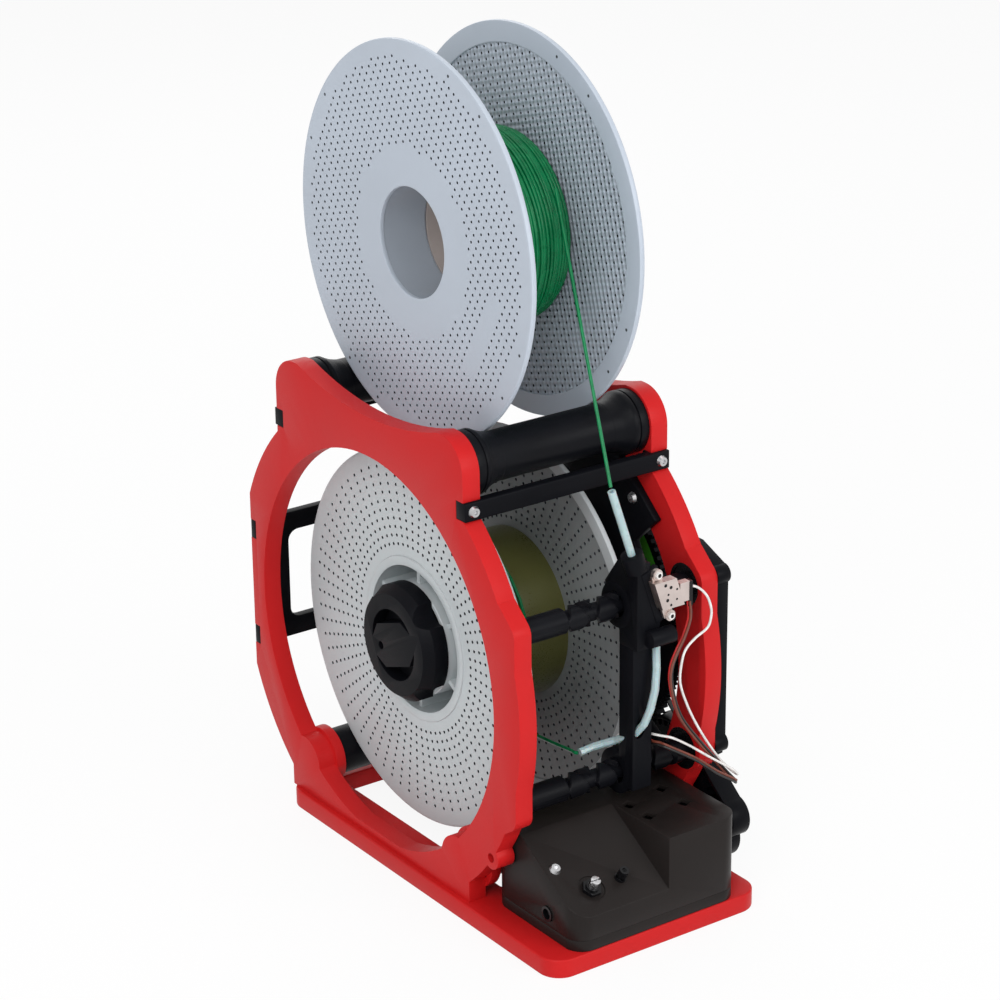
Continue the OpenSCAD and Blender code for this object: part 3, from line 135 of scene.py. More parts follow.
class RespoolerSizes(bpy.types.PropertyGroup):
    """Sizes of the small forms that the finish adds."""

    panel_round: length("Panel edge", "Radius of the side panels' edges", 1.5)
    base_round: length("Base edge", "Radius of the base plate's edges", 1.6)
    small_round: length("Small edge", "Radius of the edges on small pieces", 0.5)
    hole_d: length("Donor hole", "Diameter of the small holes in the donor spool", 1.5)
    row_hole_d: length("Take-up hole", "Diameter of the small holes in the take-up spool", 1.8)
    grid_pitch: length("Hole pitch", "Distance between the holes of the donor spool's square grid", 4.5)
    grid_inner: length("Grid inner radius", "Radius where the donor spool's holes start", 47.5)
    grid_outer: length("Grid outer radius", "Radius where the donor spool's holes end", 91.5)
    row_inner: length("Row inner radius", "Radius of the take-up spool's first hole in a row", 50)
    row_pitch: length("Row pitch", "Distance between the holes of a row", 4.5)
    groove_depth: length("Groove depth", "Depth of the crossing grooves in the lead screws", 2.1)
    groove_lead: length("Groove lead", "Advance of a groove in one turn", 17.5)
    groove_w: length("Groove width", "Width of the crossing grooves along the screw", 5.4)
    groove_from: length("Groove start", "Distance of the grooves' end to the left of the frame's middle", 24)
    groove_to: length("Groove end", "Distance of the grooves' end to the right of the frame's middle", 44)
    filament_d: length("Filament", "Diameter of the filament", 1.75)
    wire_d: length("Wire", "Diameter of one insulated wire", 1.3)


class RespoolerColours(bpy.types.PropertyGroup):
    """Colours of the finishes."""

    red: colour("Red print", "Side panels and base plate", (0.55, 0.012, 0.013))
    black: colour("Black print", "Rollers, bars, carriage and knob", (0.0042, 0.0045, 0.0062))
    box: colour("Box", "Control box", (0.016, 0.0130, 0.0122))
    grey: colour("Spool grey", "Donor spool", (0.47, 0.525, 0.60))
    take_grey: colour("Take-up grey", "Take-up spool", (0.53, 0.575, 0.59))
    drum: colour("Drum", "Barrel of the take-up spool", (0.105, 0.105, 0.028))
    filament: colour("Filament", "Green filament", (0.0012, 0.19, 0.062))
    disc: colour("Gear disc", "Carrier of the ring gear", (0.07, 0.42, 0.03))
    steel: colour("Steel", "Screws and shafts", (0.56, 0.56, 0.57))
    switch: colour("Switch plate", "Pressed plate of the filament switch", (0.60, 0.52, 0.49))
    tube: colour("Tube", "Filament tubes", (0.40, 0.54, 0.56))
    floor: colour("Floor", "Pale floor and backdrop", (0.93, 0.93, 0.935))


# ---------------------------------------------------------------- finishes


class Signal:
    """A shader socket that takes part in sums, as in 1 - mask * 0.4."""

    def __init__(self, graph, socket):
        self.graph = graph
        self.socket = socket

    def __add__(self, other):
        return self.graph.maths("ADD", self, other)

    __radd__ = __add__

    def __mul__(self, other):
        return self.graph.maths("MULTIPLY", self, other)

    __rmul__ = __mul__

    def __sub__(self, other):
        return self.graph.maths("SUBTRACT", self, other)

    def __rsub__(self, other):
        return self.graph.maths("SUBTRACT", other, self)


class Graph:
    """A node tree while its nodes are laid out."""

    def __init__(self, tree):
        self.tree = tree

    def node(self, kind, settings=None, values=None, output=0):
        """Adds a node: its settings first, then the values or links of its sockets."""
        made = self.tree.nodes.new(kind)
        for name, value in (settings or {}).items():
            setattr(made, name, value)
        for name, value in (values or {}).items():
            self.feed(made.inputs[name], value)
        return Signal(self, made.outputs[output])

    def feed(self, socket, value):
        """Links a signal to a socket, or sets the socket's own value."""
        if isinstance(value, Signal):
            self.tree.links.new(value.socket, socket)
        else:
            socket.default_value = value

    def maths(self, operation, *values):
        """A Math node fed with the values."""
        return self.node("ShaderNodeMath", {"operation": operation}, dict(enumerate(values)))

    def spread(self, signal, low, high, start=0.0, end=1.0):
        """Maps a signal's low to high stretch onto start to end, and clamps it."""
        return self.node(
            "ShaderNodeMapRange", {"clamp": True},
            {"Value": signal, "From Min": low, "From Max": high, "To Min": start, "To Max": end},
        )

    def seen(self):
        """A signal that is 1 for rays from the camera, reflected or let through, else 0."""
        camera, glossy, through = (
            self.node("ShaderNodeLightPath", output="Is " + kind + " Ray")
            for kind in ("Camera", "Glossy", "Transmission")
        )
        return self.maths("MAXIMUM", self.maths("MAXIMUM", camera, glossy), through)


class Finish(Graph):
    """A material whose shader starts plain and is then fed with patterns."""

    def __init__(self, name, base, rough, metal=0.0, sheen=0.5):
        self.material = bpy.data.materials.new(name)
        self.material.use_nodes = True
        super().__init__(self.material.node_tree)
        self.base = base
        self.shader = self.tree.nodes["Principled BSDF"]
        self.set(Base_Color=(*base, 1), Roughness=rough, Metallic=metal, Specular_IOR_Level=sheen)
        self.place = self.node("ShaderNodeTexCoord", output="Object")

    def set(self, **values):
        """Feeds the shader's own sockets, named with _ for a space."""
        for name, value in values.items():
            self.feed(self.shader.inputs[name.replace("_", " ")], value)

    def grain(self, scale, detail=3.0, stretch=None):
        """Noise from 0 to 1 at that many waves to the metre, plain or stretched along an axis."""
        place = self.place
        if stretch:
            place = self.node("ShaderNodeMapping", None, {"Vector": place, "Scale": stretch})
        return self.node("ShaderNodeTexNoise", None, {"Vector": place, "Scale": scale, "Detail": detail})

    def tone(self, signal, dark, pale, low=0.3, high=0.7):
        """Takes the base colour from a darker to a paler shade over a signal's stretch."""
        first, second = ((*shaded(self.base, factor), 1) for factor in (dark, pale))
        share = self.spread(signal, low, high)
        self.set(Base_Color=self.node(
            "ShaderNodeMix", {"data_type": "RGBA"}, {0: share, 6: first, 7: second}, output=2
        ))

    def gloss(self, signal, smooth, rough, low=0.3, high=0.7):
        """Takes the roughness from smooth to rough over a signal's stretch."""
        self.set(Roughness=self.spread(signal, low, high, smooth, rough))

    def bumps(self, height, strength, distance):
        """Feeds the shader's normal from a height signal."""
        self.set(Normal=self.node(
            "ShaderNodeBump", None, {"Strength": strength, "Distance": distance, "Height": height}
        ))


def shaded(base, factor):
    """A colour made lighter or darker."""
    return tuple(min(1.0, part * factor) for part in base)


def printed(name, base, rough=0.42, grain=0.12, sheen=0.5):
    """Satin plastic with a fine grain, faint blotches and slightly uneven gloss."""
    finish = Finish(name, base, rough, sheen=sheen)
    blotch = finish.grain(22, 4)
    fine = finish.grain(1400, 2)
    finish.tone(blotch, 1 - grain, 1 + grain)
    finish.gloss(fine * 0.5 + blotch * 0.5, rough - 0.06, rough + 0.08, 0.35, 0.65)
    finish.bumps(fine, 0.10, 0.00025)
    return finish.material


def layered(name, base, rough, pitch, sheen):
    """Printed plastic whose layers show as fine lines across the X axis."""
    finish = Finish(name, base, rough, sheen=sheen)
    blotch = finish.grain(30, 4)
    lines = finish.node(
        "ShaderNodeTexWave", {"wave_type": "BANDS", "bands_direction": "X", "wave_profile": "SIN"},
        {"Vector": finish.place, "Scale": math.pi / (10 * pitch), "Distortion": 0.15, "Detail": 1.0},
    )
    finish.tone(blotch, 0.85, 1.25)
    finish.gloss(blotch, rough - 0.05, rough + 0.08)
    finish.bumps(lines, 0.12, 0.0002)
    return finish.material


def metal(name, base, rough, along=(1, 1, 1), scratches=0.5):
    """Metal with fine scratches, stretched along the axis whose scale is small."""
    finish = Finish(name, base, rough, 1.0)
    hair = finish.grain(900, 4, along)
    finish.tone(finish.grain(60, 3), 0.86, 1.08, 0.35)
    finish.gloss(hair, rough - 0.08, rough + 0.12)
    finish.bumps(hair, scratches * 0.2, 0.0001)
    return finish.material


def moulded_grey(name, base):
    """Smooth moulded plastic of the spools, faintly mottled."""
    finish = Finish(name, base, 0.34, sheen=0.35)
    cloud = finish.grain(9, 5)
    skin = finish.grain(500, 3)
    finish.tone(cloud, 0.93, 1.06)
    finish.gloss(skin * 0.4 + cloud * 0.6, 0.28, 0.44, 0.35, 0.65)
    finish.bumps(skin, 0.08, 0.0003)
    return finish.material


def meshed_grey(name, base, pitch):
    """The flanges' inner faces, whose holes stand between fine raised lines."""
    finish = Finish(name, base, 0.36, sheen=0.35)
    across, up = (
        finish.node("ShaderNodeSeparateXYZ", None, {"Vector": finish.place}, output=axis) - centre
        for axis, centre in (("Y", DONOR.y), ("Z", DONOR.z))
    )
    waves = [
        finish.maths(
            "SINE", (across * math.cos(turn) + up * math.sin(turn)) * (FULL_TURN * math.sqrt(2) / pitch)
        )
        for turn in (GRID_TURN + math.radians(45), GRID_TURN - math.radians(45))
    ]
    net = waves[0] * 0.5 + waves[1] * 0.5
    cloud = finish.grain(9, 5)
    finish.tone(net * 0.7 + cloud * 0.3, 0.72, 1.12, -0.4)
    finish.gloss(cloud, 0.3, 0.42)
    finish.bumps(net, 0.75, 0.0006)
    return finish.material


def filament_green(name, base):
    """Glossy extruded filament, faintly streaked."""
    finish = Finish(name, base, 0.28, sheen=0.2)
    streak = finish.grain(160, 3)
    finish.tone(streak, 0.82, 1.15)
    finish.gloss(streak, 0.24, 0.32)
    finish.set(Coat_Weight=0.15, Coat_Roughness=0.15)
    return finish.material


def tube_plastic(name, base):
    """Milky tube that lets some light through."""
    finish = Finish(name, base, 0.25)
    cloud = finish.grain(120, 3)
    finish.tone(cloud, 0.94, 1.05)
    finish.gloss(cloud, 0.2, 0.34)
    finish.set(Subsurface_Weight=0.3, Subsurface_Scale=0.003, Coat_Weight=0.3)
    return finish.material


def insulation(name, base):
    """Soft wire insulation with a dull gloss."""
    finish = Finish(name, base, 0.4)
    cloud = finish.grain(260, 3)
    finish.tone(cloud, 0.85, 1.1)
    finish.gloss(cloud, 0.32, 0.5)
    finish.bumps(cloud, 0.05, 0.0002)
    return finish.material


WIRE_COLOURS = {
    "white": (0.80, 0.78, 0.76),
    "red": (0.55, 0.012, 0.012),
    "black": (0.012, 0.011, 0.011),
    "brown": (0.16, 0.035, 0.018),
}


def make_finishes(colours, sizes):
    """Every finish by its name."""
    grey, steel = colours.grey, colours.steel
    made = {
        "red": printed("red_print", colours.red, 0.42, 0.04, 0.16),
        "black": printed("black_print", colours.black, 0.4, 0.2, 0.06),
        "black_across": layered("black_layered_across", colours.black, 0.34, 0.25 * MM, 0.08),
        "box": printed("box_satin", colours.box, 0.36, 0.1, 0.12),
        "grey": moulded_grey("spool_grey", grey),
        "take_grey": moulded_grey("take_up_grey", colours.take_grey),
        # The take-up grey at half its brightness: painted shade on the take-up flanges' inner faces.
        "take_up_inner_shade": moulded_grey("take_up_inner_shade", shaded(colours.take_grey, 0.5)),
        # A near black for the walls of the flanges' small holes and the mouths of the rim holes: painted
        # shade inside the holes.
        "hole_grey": printed("hole_grey", shaded(grey, 0.1), 0.5, 0.1, 0.1),
        "mesh_grey": meshed_grey("spool_mesh", grey, sizes.grid_pitch),
        # The spool grey darkened for the donor's bore wall: painted shade inside the bore.
        "bore": printed("bore_shaded_grey", shaded(grey, 0.68), 0.2, 0.05, 0.5),
        # A warm brownish band deep in the donor's bore.
        "core": printed("core_brown", (0.40, 0.35, 0.33), 0.6, 0.1, 0.2),
        "drum": printed("drum_olive", colours.drum, 0.3, 0.15),
        "filament": filament_green("filament_green", colours.filament),
        "disc": printed("disc_green", colours.disc, 0.4, 0.1),
        "steel": metal("screw_steel", steel, 0.28),
        "bearing": metal("bearing_steel", shaded(steel, 1.2), 0.16, (1, 1, 1), 0.2),
        "shaft": metal("shaft_steel", steel, 0.22, (0.05, 1, 1)),
        "switch": metal("switch_plate", colours.switch, 0.42, (1, 0.1, 1), 0.8),
        "tube": tube_plastic("filament_tube", colours.tube),
        "belt": insulation("belt_rubber", (0.012, 0.012, 0.012)),
        "can": metal("motor_can", (0.5, 0.5, 0.51), 0.34, (0.1, 1, 1)),
        "board": printed("circuit_board", (0.006, 0.11, 0.035), 0.35, 0.2),
        # Gloss black of the switches, bearings, plug and toggle cap; the same black is painted shade in the
        # switch's ear holes and dimples.
        "gloss_black": printed("switch_black", (0.005, 0.005, 0.006), 0.22, 0.15, 0.25),
        "ear_white": printed("ear_white", (0.72, 0.70, 0.68), 0.35, 0.05),
    }
    for name, base in WIRE_COLOURS.items():
        made["wire_" + name] = insulation("wire_" + name, base)
    return made


FINISHES = {}


def finish_of(name):
    """The finish of that name, all of them made at its first use."""
    if not FINISHES:
        scene = bpy.context.scene
        FINISHES.update(make_finishes(scene.respooler_colours, scene.respooler_sizes))
    return FINISHES[name]


# ---------------------------------------------------------------- mesh helpers


def placed(name, data, body, replaced=()):
    """A piece that holds the data, rides on a body and stands for the replaced nodes."""
    piece = bpy.data.objects.new(name, data)
    bpy.context.scene.collection.objects.link(piece)
    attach(piece, body)
    if replaced:
        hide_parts(*replaced)
    return piece


def settle(bm, name, body, material, replaced=(), sharp=32):
    """Makes a piece of a bmesh, shaded smooth where its faces meet below that many degrees."""
    bmesh.ops.recalc_face_normals(bm, faces=bm.faces)
    mesh = bpy.data.meshes.new(name)
    bm.to_mesh(mesh)
    bm.free()
    mesh.shade_smooth()
    mesh.set_sharp_from_angle(angle=math.radians(sharp))
    for held in (material,) if isinstance(material, str) else material:
        mesh.materials.append(finish_of(held))
    return placed(name, mesh, body, replaced)


def merged_copy(node):
    """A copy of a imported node's mesh with its corners merged and its flat faces joined."""
    bm = bmesh.new()
    bm.from_mesh(frame["nodes"][node].data)
    bmesh.ops.remove_doubles(bm, verts=bm.verts, dist=MERGE)
    bmesh.ops.dissolve_limit(
        bm, angle_limit=FLAT, use_dissolve_boundaries=False, verts=bm.verts, edges=bm.edges
    )
    return bm


def sharp_edges(bm, least):
    """The sharp edges, in chains whose box is at least that wide from corner to corner."""
    sharp = {e for e in bm.edges if len(e.link_faces) == 2 and e.calc_face_angle(0) > SHARP}
    kept = []
    while sharp:
        chain, queue = [], [sharp.pop()]
        while queue:
            edge = queue.pop()
            chain.append(edge)
            near = {e for v in edge.verts for e in v.link_edges} & sharp
            sharp -= near
            queue.extend(near)
        spots = [v.co for e in chain for v in e.verts]
        if (Vector(map(max, *spots)) - Vector(map(min, *spots))).length >= least:
            kept.extend(chain)
    return kept


def round_off(bm, radius, segments, least):
    """Rounds the sharp edges, those of small holes left out."""
    bmesh.ops.bevel(
        bm, geom=sharp_edges(bm, least), offset=radius, segments=segments, profile=0.5,
        affect="EDGES", clamp_overlap=True, material=-1, offset_type="OFFSET", miter_outer="ARC",
    )


def dressed(*nodes, material, slot, radius, segments=2, least=0.0):
    """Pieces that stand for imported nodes: the same shapes with rounded edges and a finish."""
    for node in nodes:
        bm = merged_copy(node)
        round_off(bm, radius, segments, least)
        settle(bm, node + "_skin", body_of(node), material, [node])


def painted(*nodes, material, slot):
    """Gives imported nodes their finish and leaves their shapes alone."""
    for node in nodes:
        piece = frame["nodes"][node]
        if not piece.material_slots:
            piece.data.materials.append(finish_of(material))
        for held in piece.material_slots:
            held.material = finish_of(material)


def circle(bm, count, radius, y, z, x, phase=0.0):
    """A closed loop of edges round a circle in the plane of a spool's side."""
    step = FULL_TURN / count
    corners = [
        bm.verts.new((x, y + radius * math.cos(phase + i * step), z + radius * math.sin(phase + i * step)))
        for i in range(count)
    ]
    return [bm.edges.new(pair) for pair in zip(corners, corners[1:] + corners[:1])]


def lathe(bm, profile, centre, steps=ROUND):
    """Spins a closed (x, radius) profile about the X-parallel axis through a centre."""
    corners = [bm.verts.new((x, centre.y, centre.z + r)) for x, r in profile]
    edges = [bm.edges.new(pair) for pair in zip(corners, corners[1:] + corners[:1])]
    bmesh.ops.spin(
        bm, geom=corners + edges, cent=(0, centre.y, centre.z), axis=(1, 0, 0),
        angle=FULL_TURN, steps=steps, use_merge=True,
    )


def rod(bm, start, end, radius, segments, tip=None):
    """A straight rod between two points, its far end radius given by tip."""
    line = end - start
    turn = line.to_track_quat("Z", "Y").to_matrix().to_4x4()
    bmesh.ops.create_cone(
        bm, cap_ends=True, segments=segments, radius1=radius, radius2=radius if tip is None else tip,
        depth=line.length, matrix=Matrix.Translation((start + end) / 2) @ turn,
    )


def block(bm, low, high):
    """A box between two corners."""
    low, high = Vector(low), Vector(high)
    place = Matrix.Translation((low + high) / 2) @ Matrix.Diagonal((*(high - low), 1))
    return bmesh.ops.create_cube(bm, size=1.0, matrix=place)["verts"]


def smooth_path(spots, steps=8):
    """A smooth line through the points (Catmull-Rom)."""
    ends = [2 * spots[0] - spots[1], *spots, 2 * spots[-1] - spots[-2]]
    line = []
    for a, b, c, d in zip(ends, ends[1:], ends[2:], ends[3:]):
        for i in range(steps):
            t = i / steps
            line.append(0.5 * (2 * b + (c - a) * t + (2 * a - 5 * b + 4 * c - d) * t ** 2
                               + (3 * b - a - 3 * c + d) * t ** 3))
    return line + [spots[-1]]


def run_length(line):
    """Length of a line of points."""
    return sum((b - a).length for a, b in zip(line, line[1:]))


def cord_piece(name, line, diameter, body, material, replaced, roundness=3):
    """A round cord along a line of points, as a curve of one open spline."""
    data = bpy.data.curves.new(name, "CURVE")
    data.dimensions = "3D"
    data.bevel_depth = diameter / 2
    data.bevel_resolution = roundness
    data.use_fill_caps = True
    spline = data.splines.new("POLY")
    spline.points.add(len(line) - 1)
    for point, spot in zip(spline.points, line):
        point.co = (*spot, 1)
    spline.use_smooth = True
    data.materials.append(finish_of(material))
    return placed(name, data, body, replaced)


# ---------------------------------------------------------------- operators


class PieceOperator:
    """What the operators share."""

    bl_options = {"REGISTER", "UNDO"}

    @property
    def sizes(self):
        return bpy.context.scene.respooler_sizes


class RESPOOLER_OT_panels(PieceOperator, bpy.types.Operator):
    """Side panels and base plate with rounded edges in red"""

    bl_idname = "respooler.panels"
    bl_label = "Panels and base"

    def execute(self, context):
        shared = {"material": "red", "slot": "red_frame", "segments": 3, "least": 20 * MM}
        dressed("left_side_panel", "right_side_panel", radius=self.sizes.panel_round, **shared)
        dressed("base_plate", radius=self.sizes.base_round, **shared)
        return {"FINISHED"}


class RESPOOLER_OT_bars(PieceOperator, bpy.types.Operator):
    """Cross bars, handle, spacer tubes and rollers in black, with their screws and bearings"""

    bl_idname = "respooler.bars"
    bl_label = "Bars and rollers"

    def execute(self, context):
        shared = {"slot": "black_plastic", "radius": self.sizes.small_round, "least": 10 * MM}
        dressed("front_cross_bar", "rear_cross_bar", "rear_handle", material="black", **shared)
        dressed(
            "front_spacer_tube", "rear_spacer_tube", "front_roller", "rear_roller",
            material="black_across", **shared,
        )
        dressed("drive_plate", "gear_cover", "motor_cover", material="black", **shared)
        painted("roller_axles", material="shaft", slot="steel")
        painted("roller_bearings", "shaft_bearings", material="bearing", slot="bearing_steel")
        painted("lead_screw_bearings", material="gloss_black", slot="bearing_steel")
        painted("frame_screws", "cover_screws", "gear_pins", "carrier_screws", material="steel", slot="steel")
        return {"FINISHED"}


def flange_plate(bm, holes, hole_r, centre, bore_r, x_out, side):
    """A flange's flat plate with small holes through it, its thickness towards one side."""
    edges = circle(bm, FINE_ROUND, RIM_R, centre.y, centre.z, x_out)
    edges += circle(bm, ROUND, bore_r, centre.y, centre.z, x_out)
    for k, (y, z) in enumerate(holes):
        # each hole has its own phase, because corners in line leave gaps in the fill
        edges += circle(bm, HOLE_SIDES, hole_r, centre.y + y, centre.z + z, x_out, k * HOLE_PHASE)
    filled = bmesh.ops.triangle_fill(bm, use_beauty=False, use_dissolve=False, edges=edges, normal=(-1, 0, 0))
    faces = [g for g in filled["geom"] if isinstance(g, bmesh.types.BMFace)]
    grown = bmesh.ops.extrude_face_region(bm, geom=faces, use_keep_orig=True)
    moved = [g for g in grown["geom"] if isinstance(g, bmesh.types.BMVert)]
    bmesh.ops.translate(bm, verts=moved, vec=(side * PLATE_T, 0, 0))
    for g in grown["geom"]:
        if isinstance(g, bmesh.types.BMFace):
            g.material_index = 2
    # The small holes' walls get the second finish, a near black that is painted shade inside the holes.
    for face in {f for v in moved for f in v.link_faces if f.material_index == 0}:
        spot = face.calc_center_median()
        if bore_r + MM < math.hypot(spot.y - centre.y, spot.z - centre.z) < RIM_R - MM:
            face.material_index = 1


def flange_lathe(bm, profile, centre, x_out, side, steps=ROUND):
    """Spins a profile whose x counts inwards from a flange's outside."""
    lathe(bm, [(x_out + side * x, r) for x, r in profile], centre, steps)


def flange_rim(bm, centre, x_out, side, step_r):
    """The raised ring round a flange, with a rounded outer edge."""
    soft = 0.8 * MM
    flange_lathe(bm, [
        (0, RIM_R), (0.25 * soft, SPOOL_R - 0.35 * soft), (soft, SPOOL_R),
        (FLANGE_T - soft, SPOOL_R), (FLANGE_T - 0.25 * soft, SPOOL_R - 0.35 * soft), (FLANGE_T, RIM_R),
        (FLANGE_T, step_r + 0.4 * MM), (FLANGE_T - 0.3 * MM, step_r), (PLATE_T, step_r), (PLATE_T, RIM_R),
    ], centre, x_out, side, FINE_ROUND)


def grid_holes(sizes):
    """Places of the donor flanges' square grid of holes, a strip two holes wide left out."""
    reach = int(sizes.grid_outer / sizes.grid_pitch) + 2
    along = Vector((math.cos(GRID_TURN), math.sin(GRID_TURN))) * sizes.grid_pitch
    across = Vector((-along.y, along.x))
    spots = [
        along * (i + 0.5) + across * j
        for i in range(-reach, reach + 1) for j in range(-reach, reach + 1)
        if not (i in STRIP_COLUMNS and abs(j) <= STRIP_ROWS)
    ]
    return [(spot.x, spot.y) for spot in spots if sizes.grid_inner <= spot.length <= sizes.grid_outer]


def row_holes(sizes):
    """Places of the take-up flanges' holes in radial rows."""
    turns = [ROW_TURN + i * FULL_TURN / ROWS for i in range(ROWS)]
    radii = [sizes.row_inner + k * sizes.row_pitch for k in range(ROW_HOLES)]
    return [(r * math.cos(turn), r * math.sin(turn)) for turn in turns for r in radii]


class RESPOOLER_OT_donor_spool(PieceOperator, bpy.types.Operator):
    """Donor spool: two perforated flanges with raised rims and a barrel"""

    bl_idname = "respooler.donor_spool"
    bl_label = "Donor spool"

    def execute(self, context):
        step_r, barrel_r, wall_r = 89 * MM, 40 * MM, 29.5 * MM
        end_t, lip, soft, corner = 2.4 * MM, 1.2 * MM, 0.5 * MM, 0.15 * MM
        holes = grid_holes(self.sizes)
        low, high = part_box("donor_spool")
        bm = bmesh.new()
        for x_out, side in ((low.x, 1), (high.x, -1)):
            flange_plate(bm, holes, self.sizes.hole_d / 2, DONOR, BORE_R + lip, x_out, side)
            flange_rim(bm, DONOR, x_out, side, step_r)
            flange_lathe(bm, [
                (0, BORE_R + lip), (0, BORE_R + soft), (corner, BORE_R + corner), (soft, BORE_R),
                (end_t - soft, BORE_R), (end_t - corner, BORE_R + corner), (end_t, BORE_R + soft),
                (end_t, wall_r + MM), (PLATE_T, wall_r + MM), (PLATE_T, BORE_R + lip),
            ], DONOR, x_out, side)
        lathe(bm, [
            (low.x + end_t - soft, wall_r), (high.x - end_t + soft, wall_r),
            (high.x - PLATE_T, barrel_r), (low.x + PLATE_T, barrel_r),
        ], DONOR)
        finishes = ("grey", "hole_grey", "mesh_grey")
        settle(bm, "donor_spool_body", "donor_spool", finishes, ["donor_spool"])
        # The bore's liner carries a darker grey, painted shade inside the bore; deeper in lies a warm
        # brownish band.
        for name, start, end, inner_r, finish in (
            ("donor_bore", low.x + end_t - soft, low.x + 27 * MM, 28.2 * MM, "bore"),
            ("donor_core", low.x + 28.2 * MM, high.x - end_t + soft, 28.6 * MM, "core"),
        ):
            bm = bmesh.new()
            bevel = 0.2 * MM
            lathe(bm, [
                (start, inner_r + bevel), (start + bevel, inner_r), (end - bevel, inner_r),
                (end, inner_r + bevel), (end, wall_r + 0.3 * MM), (start, wall_r + 0.3 * MM),
            ], DONOR)
            settle(bm, name, "donor_spool", finish)
        self.eyelet_shades(low.x, high.x)
        return {"FINISHED"}

    @staticmethod
    def eyelet_shades(left, right):
        """Dark rods through both rims, painted shade where the paired holes open, on both sides of each
        flange.
        """
        proud, mark_r = 0.04 * MM, 0.8 * MM
        turns = [GRID_TURN + math.radians(90) * k + s * EYELET_HALF for k in range(4) for s in (-1, 1)]
        bm = bmesh.new()
        for x in (left, right - FLANGE_T):
            for turn in turns:
                y, z = DONOR.y + EYELET_R * math.cos(turn), DONOR.z + EYELET_R * math.sin(turn)
                rod(bm, Vector((x - proud, y, z)), Vector((x + FLANGE_T + proud, y, z)), mark_r, MARK_SIDES)
        settle(bm, "donor_eyelet_shades", "donor_spool", "hole_grey")


def wound_path(centre, low_x, high_x, radius_at, turns, layers, step, wander, seed, per_turn=60):
    """One unbroken line that winds to and fro in layers; each turn leans and strays its own way."""
    random.seed(seed)
    count = turns * layers + 2
    strays = [random.uniform(-1, 1) * wander for _ in range(count)]
    leans = [random.uniform(-1, 1) * wander for _ in range(count)]
    lifts = [random.uniform(-0.3, 0.3) * step for _ in range(count)]
    line = []
    for i in range(turns * layers * per_turn + 1):
        turn, part = divmod(i, per_turn)
        part /= per_turn
        ease = part * part * (3 - 2 * part)
        stray, lean, lift = (v[turn] * (1 - ease) + v[turn + 1] * ease for v in (strays, leans, lifts))
        layer = min(turn // turns, layers - 1)
        share = (turn + part) / turns - layer
        share = share if layer % 2 == 0 else 1 - share
        angle = (turn + part) * FULL_TURN
        x = low_x + (high_x - low_x) * share + stray + lean * math.sin(angle + turn * 0.7)
        x = min(max(x, low_x), high_x)
        r = radius_at((x - low_x) / (high_x - low_x)) - (layers - 1 - layer) * step + lift
        line.append(Vector((x, centre.y + r * math.cos(angle), centre.z + r * math.sin(angle))))
    return line


def crown(share):
    """Height of the donor winding across its width, from 0 at its sides to 1 in the middle."""
    return max(0.0, math.sin(math.pi * min(max(share, 0), 1))) ** 0.6


class RESPOOLER_OT_windings(PieceOperator, bpy.types.Operator):
    """Filament wound on both spools"""

    bl_idname = "respooler.windings"
    bl_label = "Windings"

    def execute(self, context):
        filament_d = self.sizes.filament_d
        low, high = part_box("donor_spool")
        gap, shoulder_drop = FLANGE_T + 1.2 * MM, 7 * MM
        left, right = low.x + gap, high.x - gap
        low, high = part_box("donor_filament")
        outer = (high.z - low.z) / 2 - filament_d / 2

        def radius_at(share):
            return outer - shoulder_drop * (1 - crown(share))

        line = wound_path(
            DONOR, left, right, radius_at, turns=33, layers=3, step=1.2 * MM, wander=0.9 * MM, seed=7
        )
        self.wound_piece("donor_winding", line, filament_d)
        core_r, over, deep, parts = 40.2 * MM, 0.6 * MM, 4.6 * MM, 12
        core = [(left - over, core_r)]
        core += [(left + (right - left) * i / parts, radius_at(i / parts) - deep) for i in range(parts + 1)]
        core += [(right + over, core_r)]
        bm = bmesh.new()
        lathe(bm, core, DONOR, 72)
        settle(bm, "donor_winding_core", "donor_spool", "filament")
        painted("take_up_filament", material="filament", slot="green_filament")
        return {"FINISHED"}

    @staticmethod
    def wound_piece(name, line, diameter):
        """The donor's winding along a line, as a mesh of one unbroken tube."""
        body, slot = "donor_spool", "green_filament"
        curve = cord_piece(name, line, diameter, body, "filament", (), 2)
        graph = bpy.context.evaluated_depsgraph_get()
        mesh = bpy.data.meshes.new_from_object(curve.evaluated_get(graph))
        bpy.data.objects.remove(curve)
        mesh.name = name
        placed(name, mesh, body, ["donor_filament"])


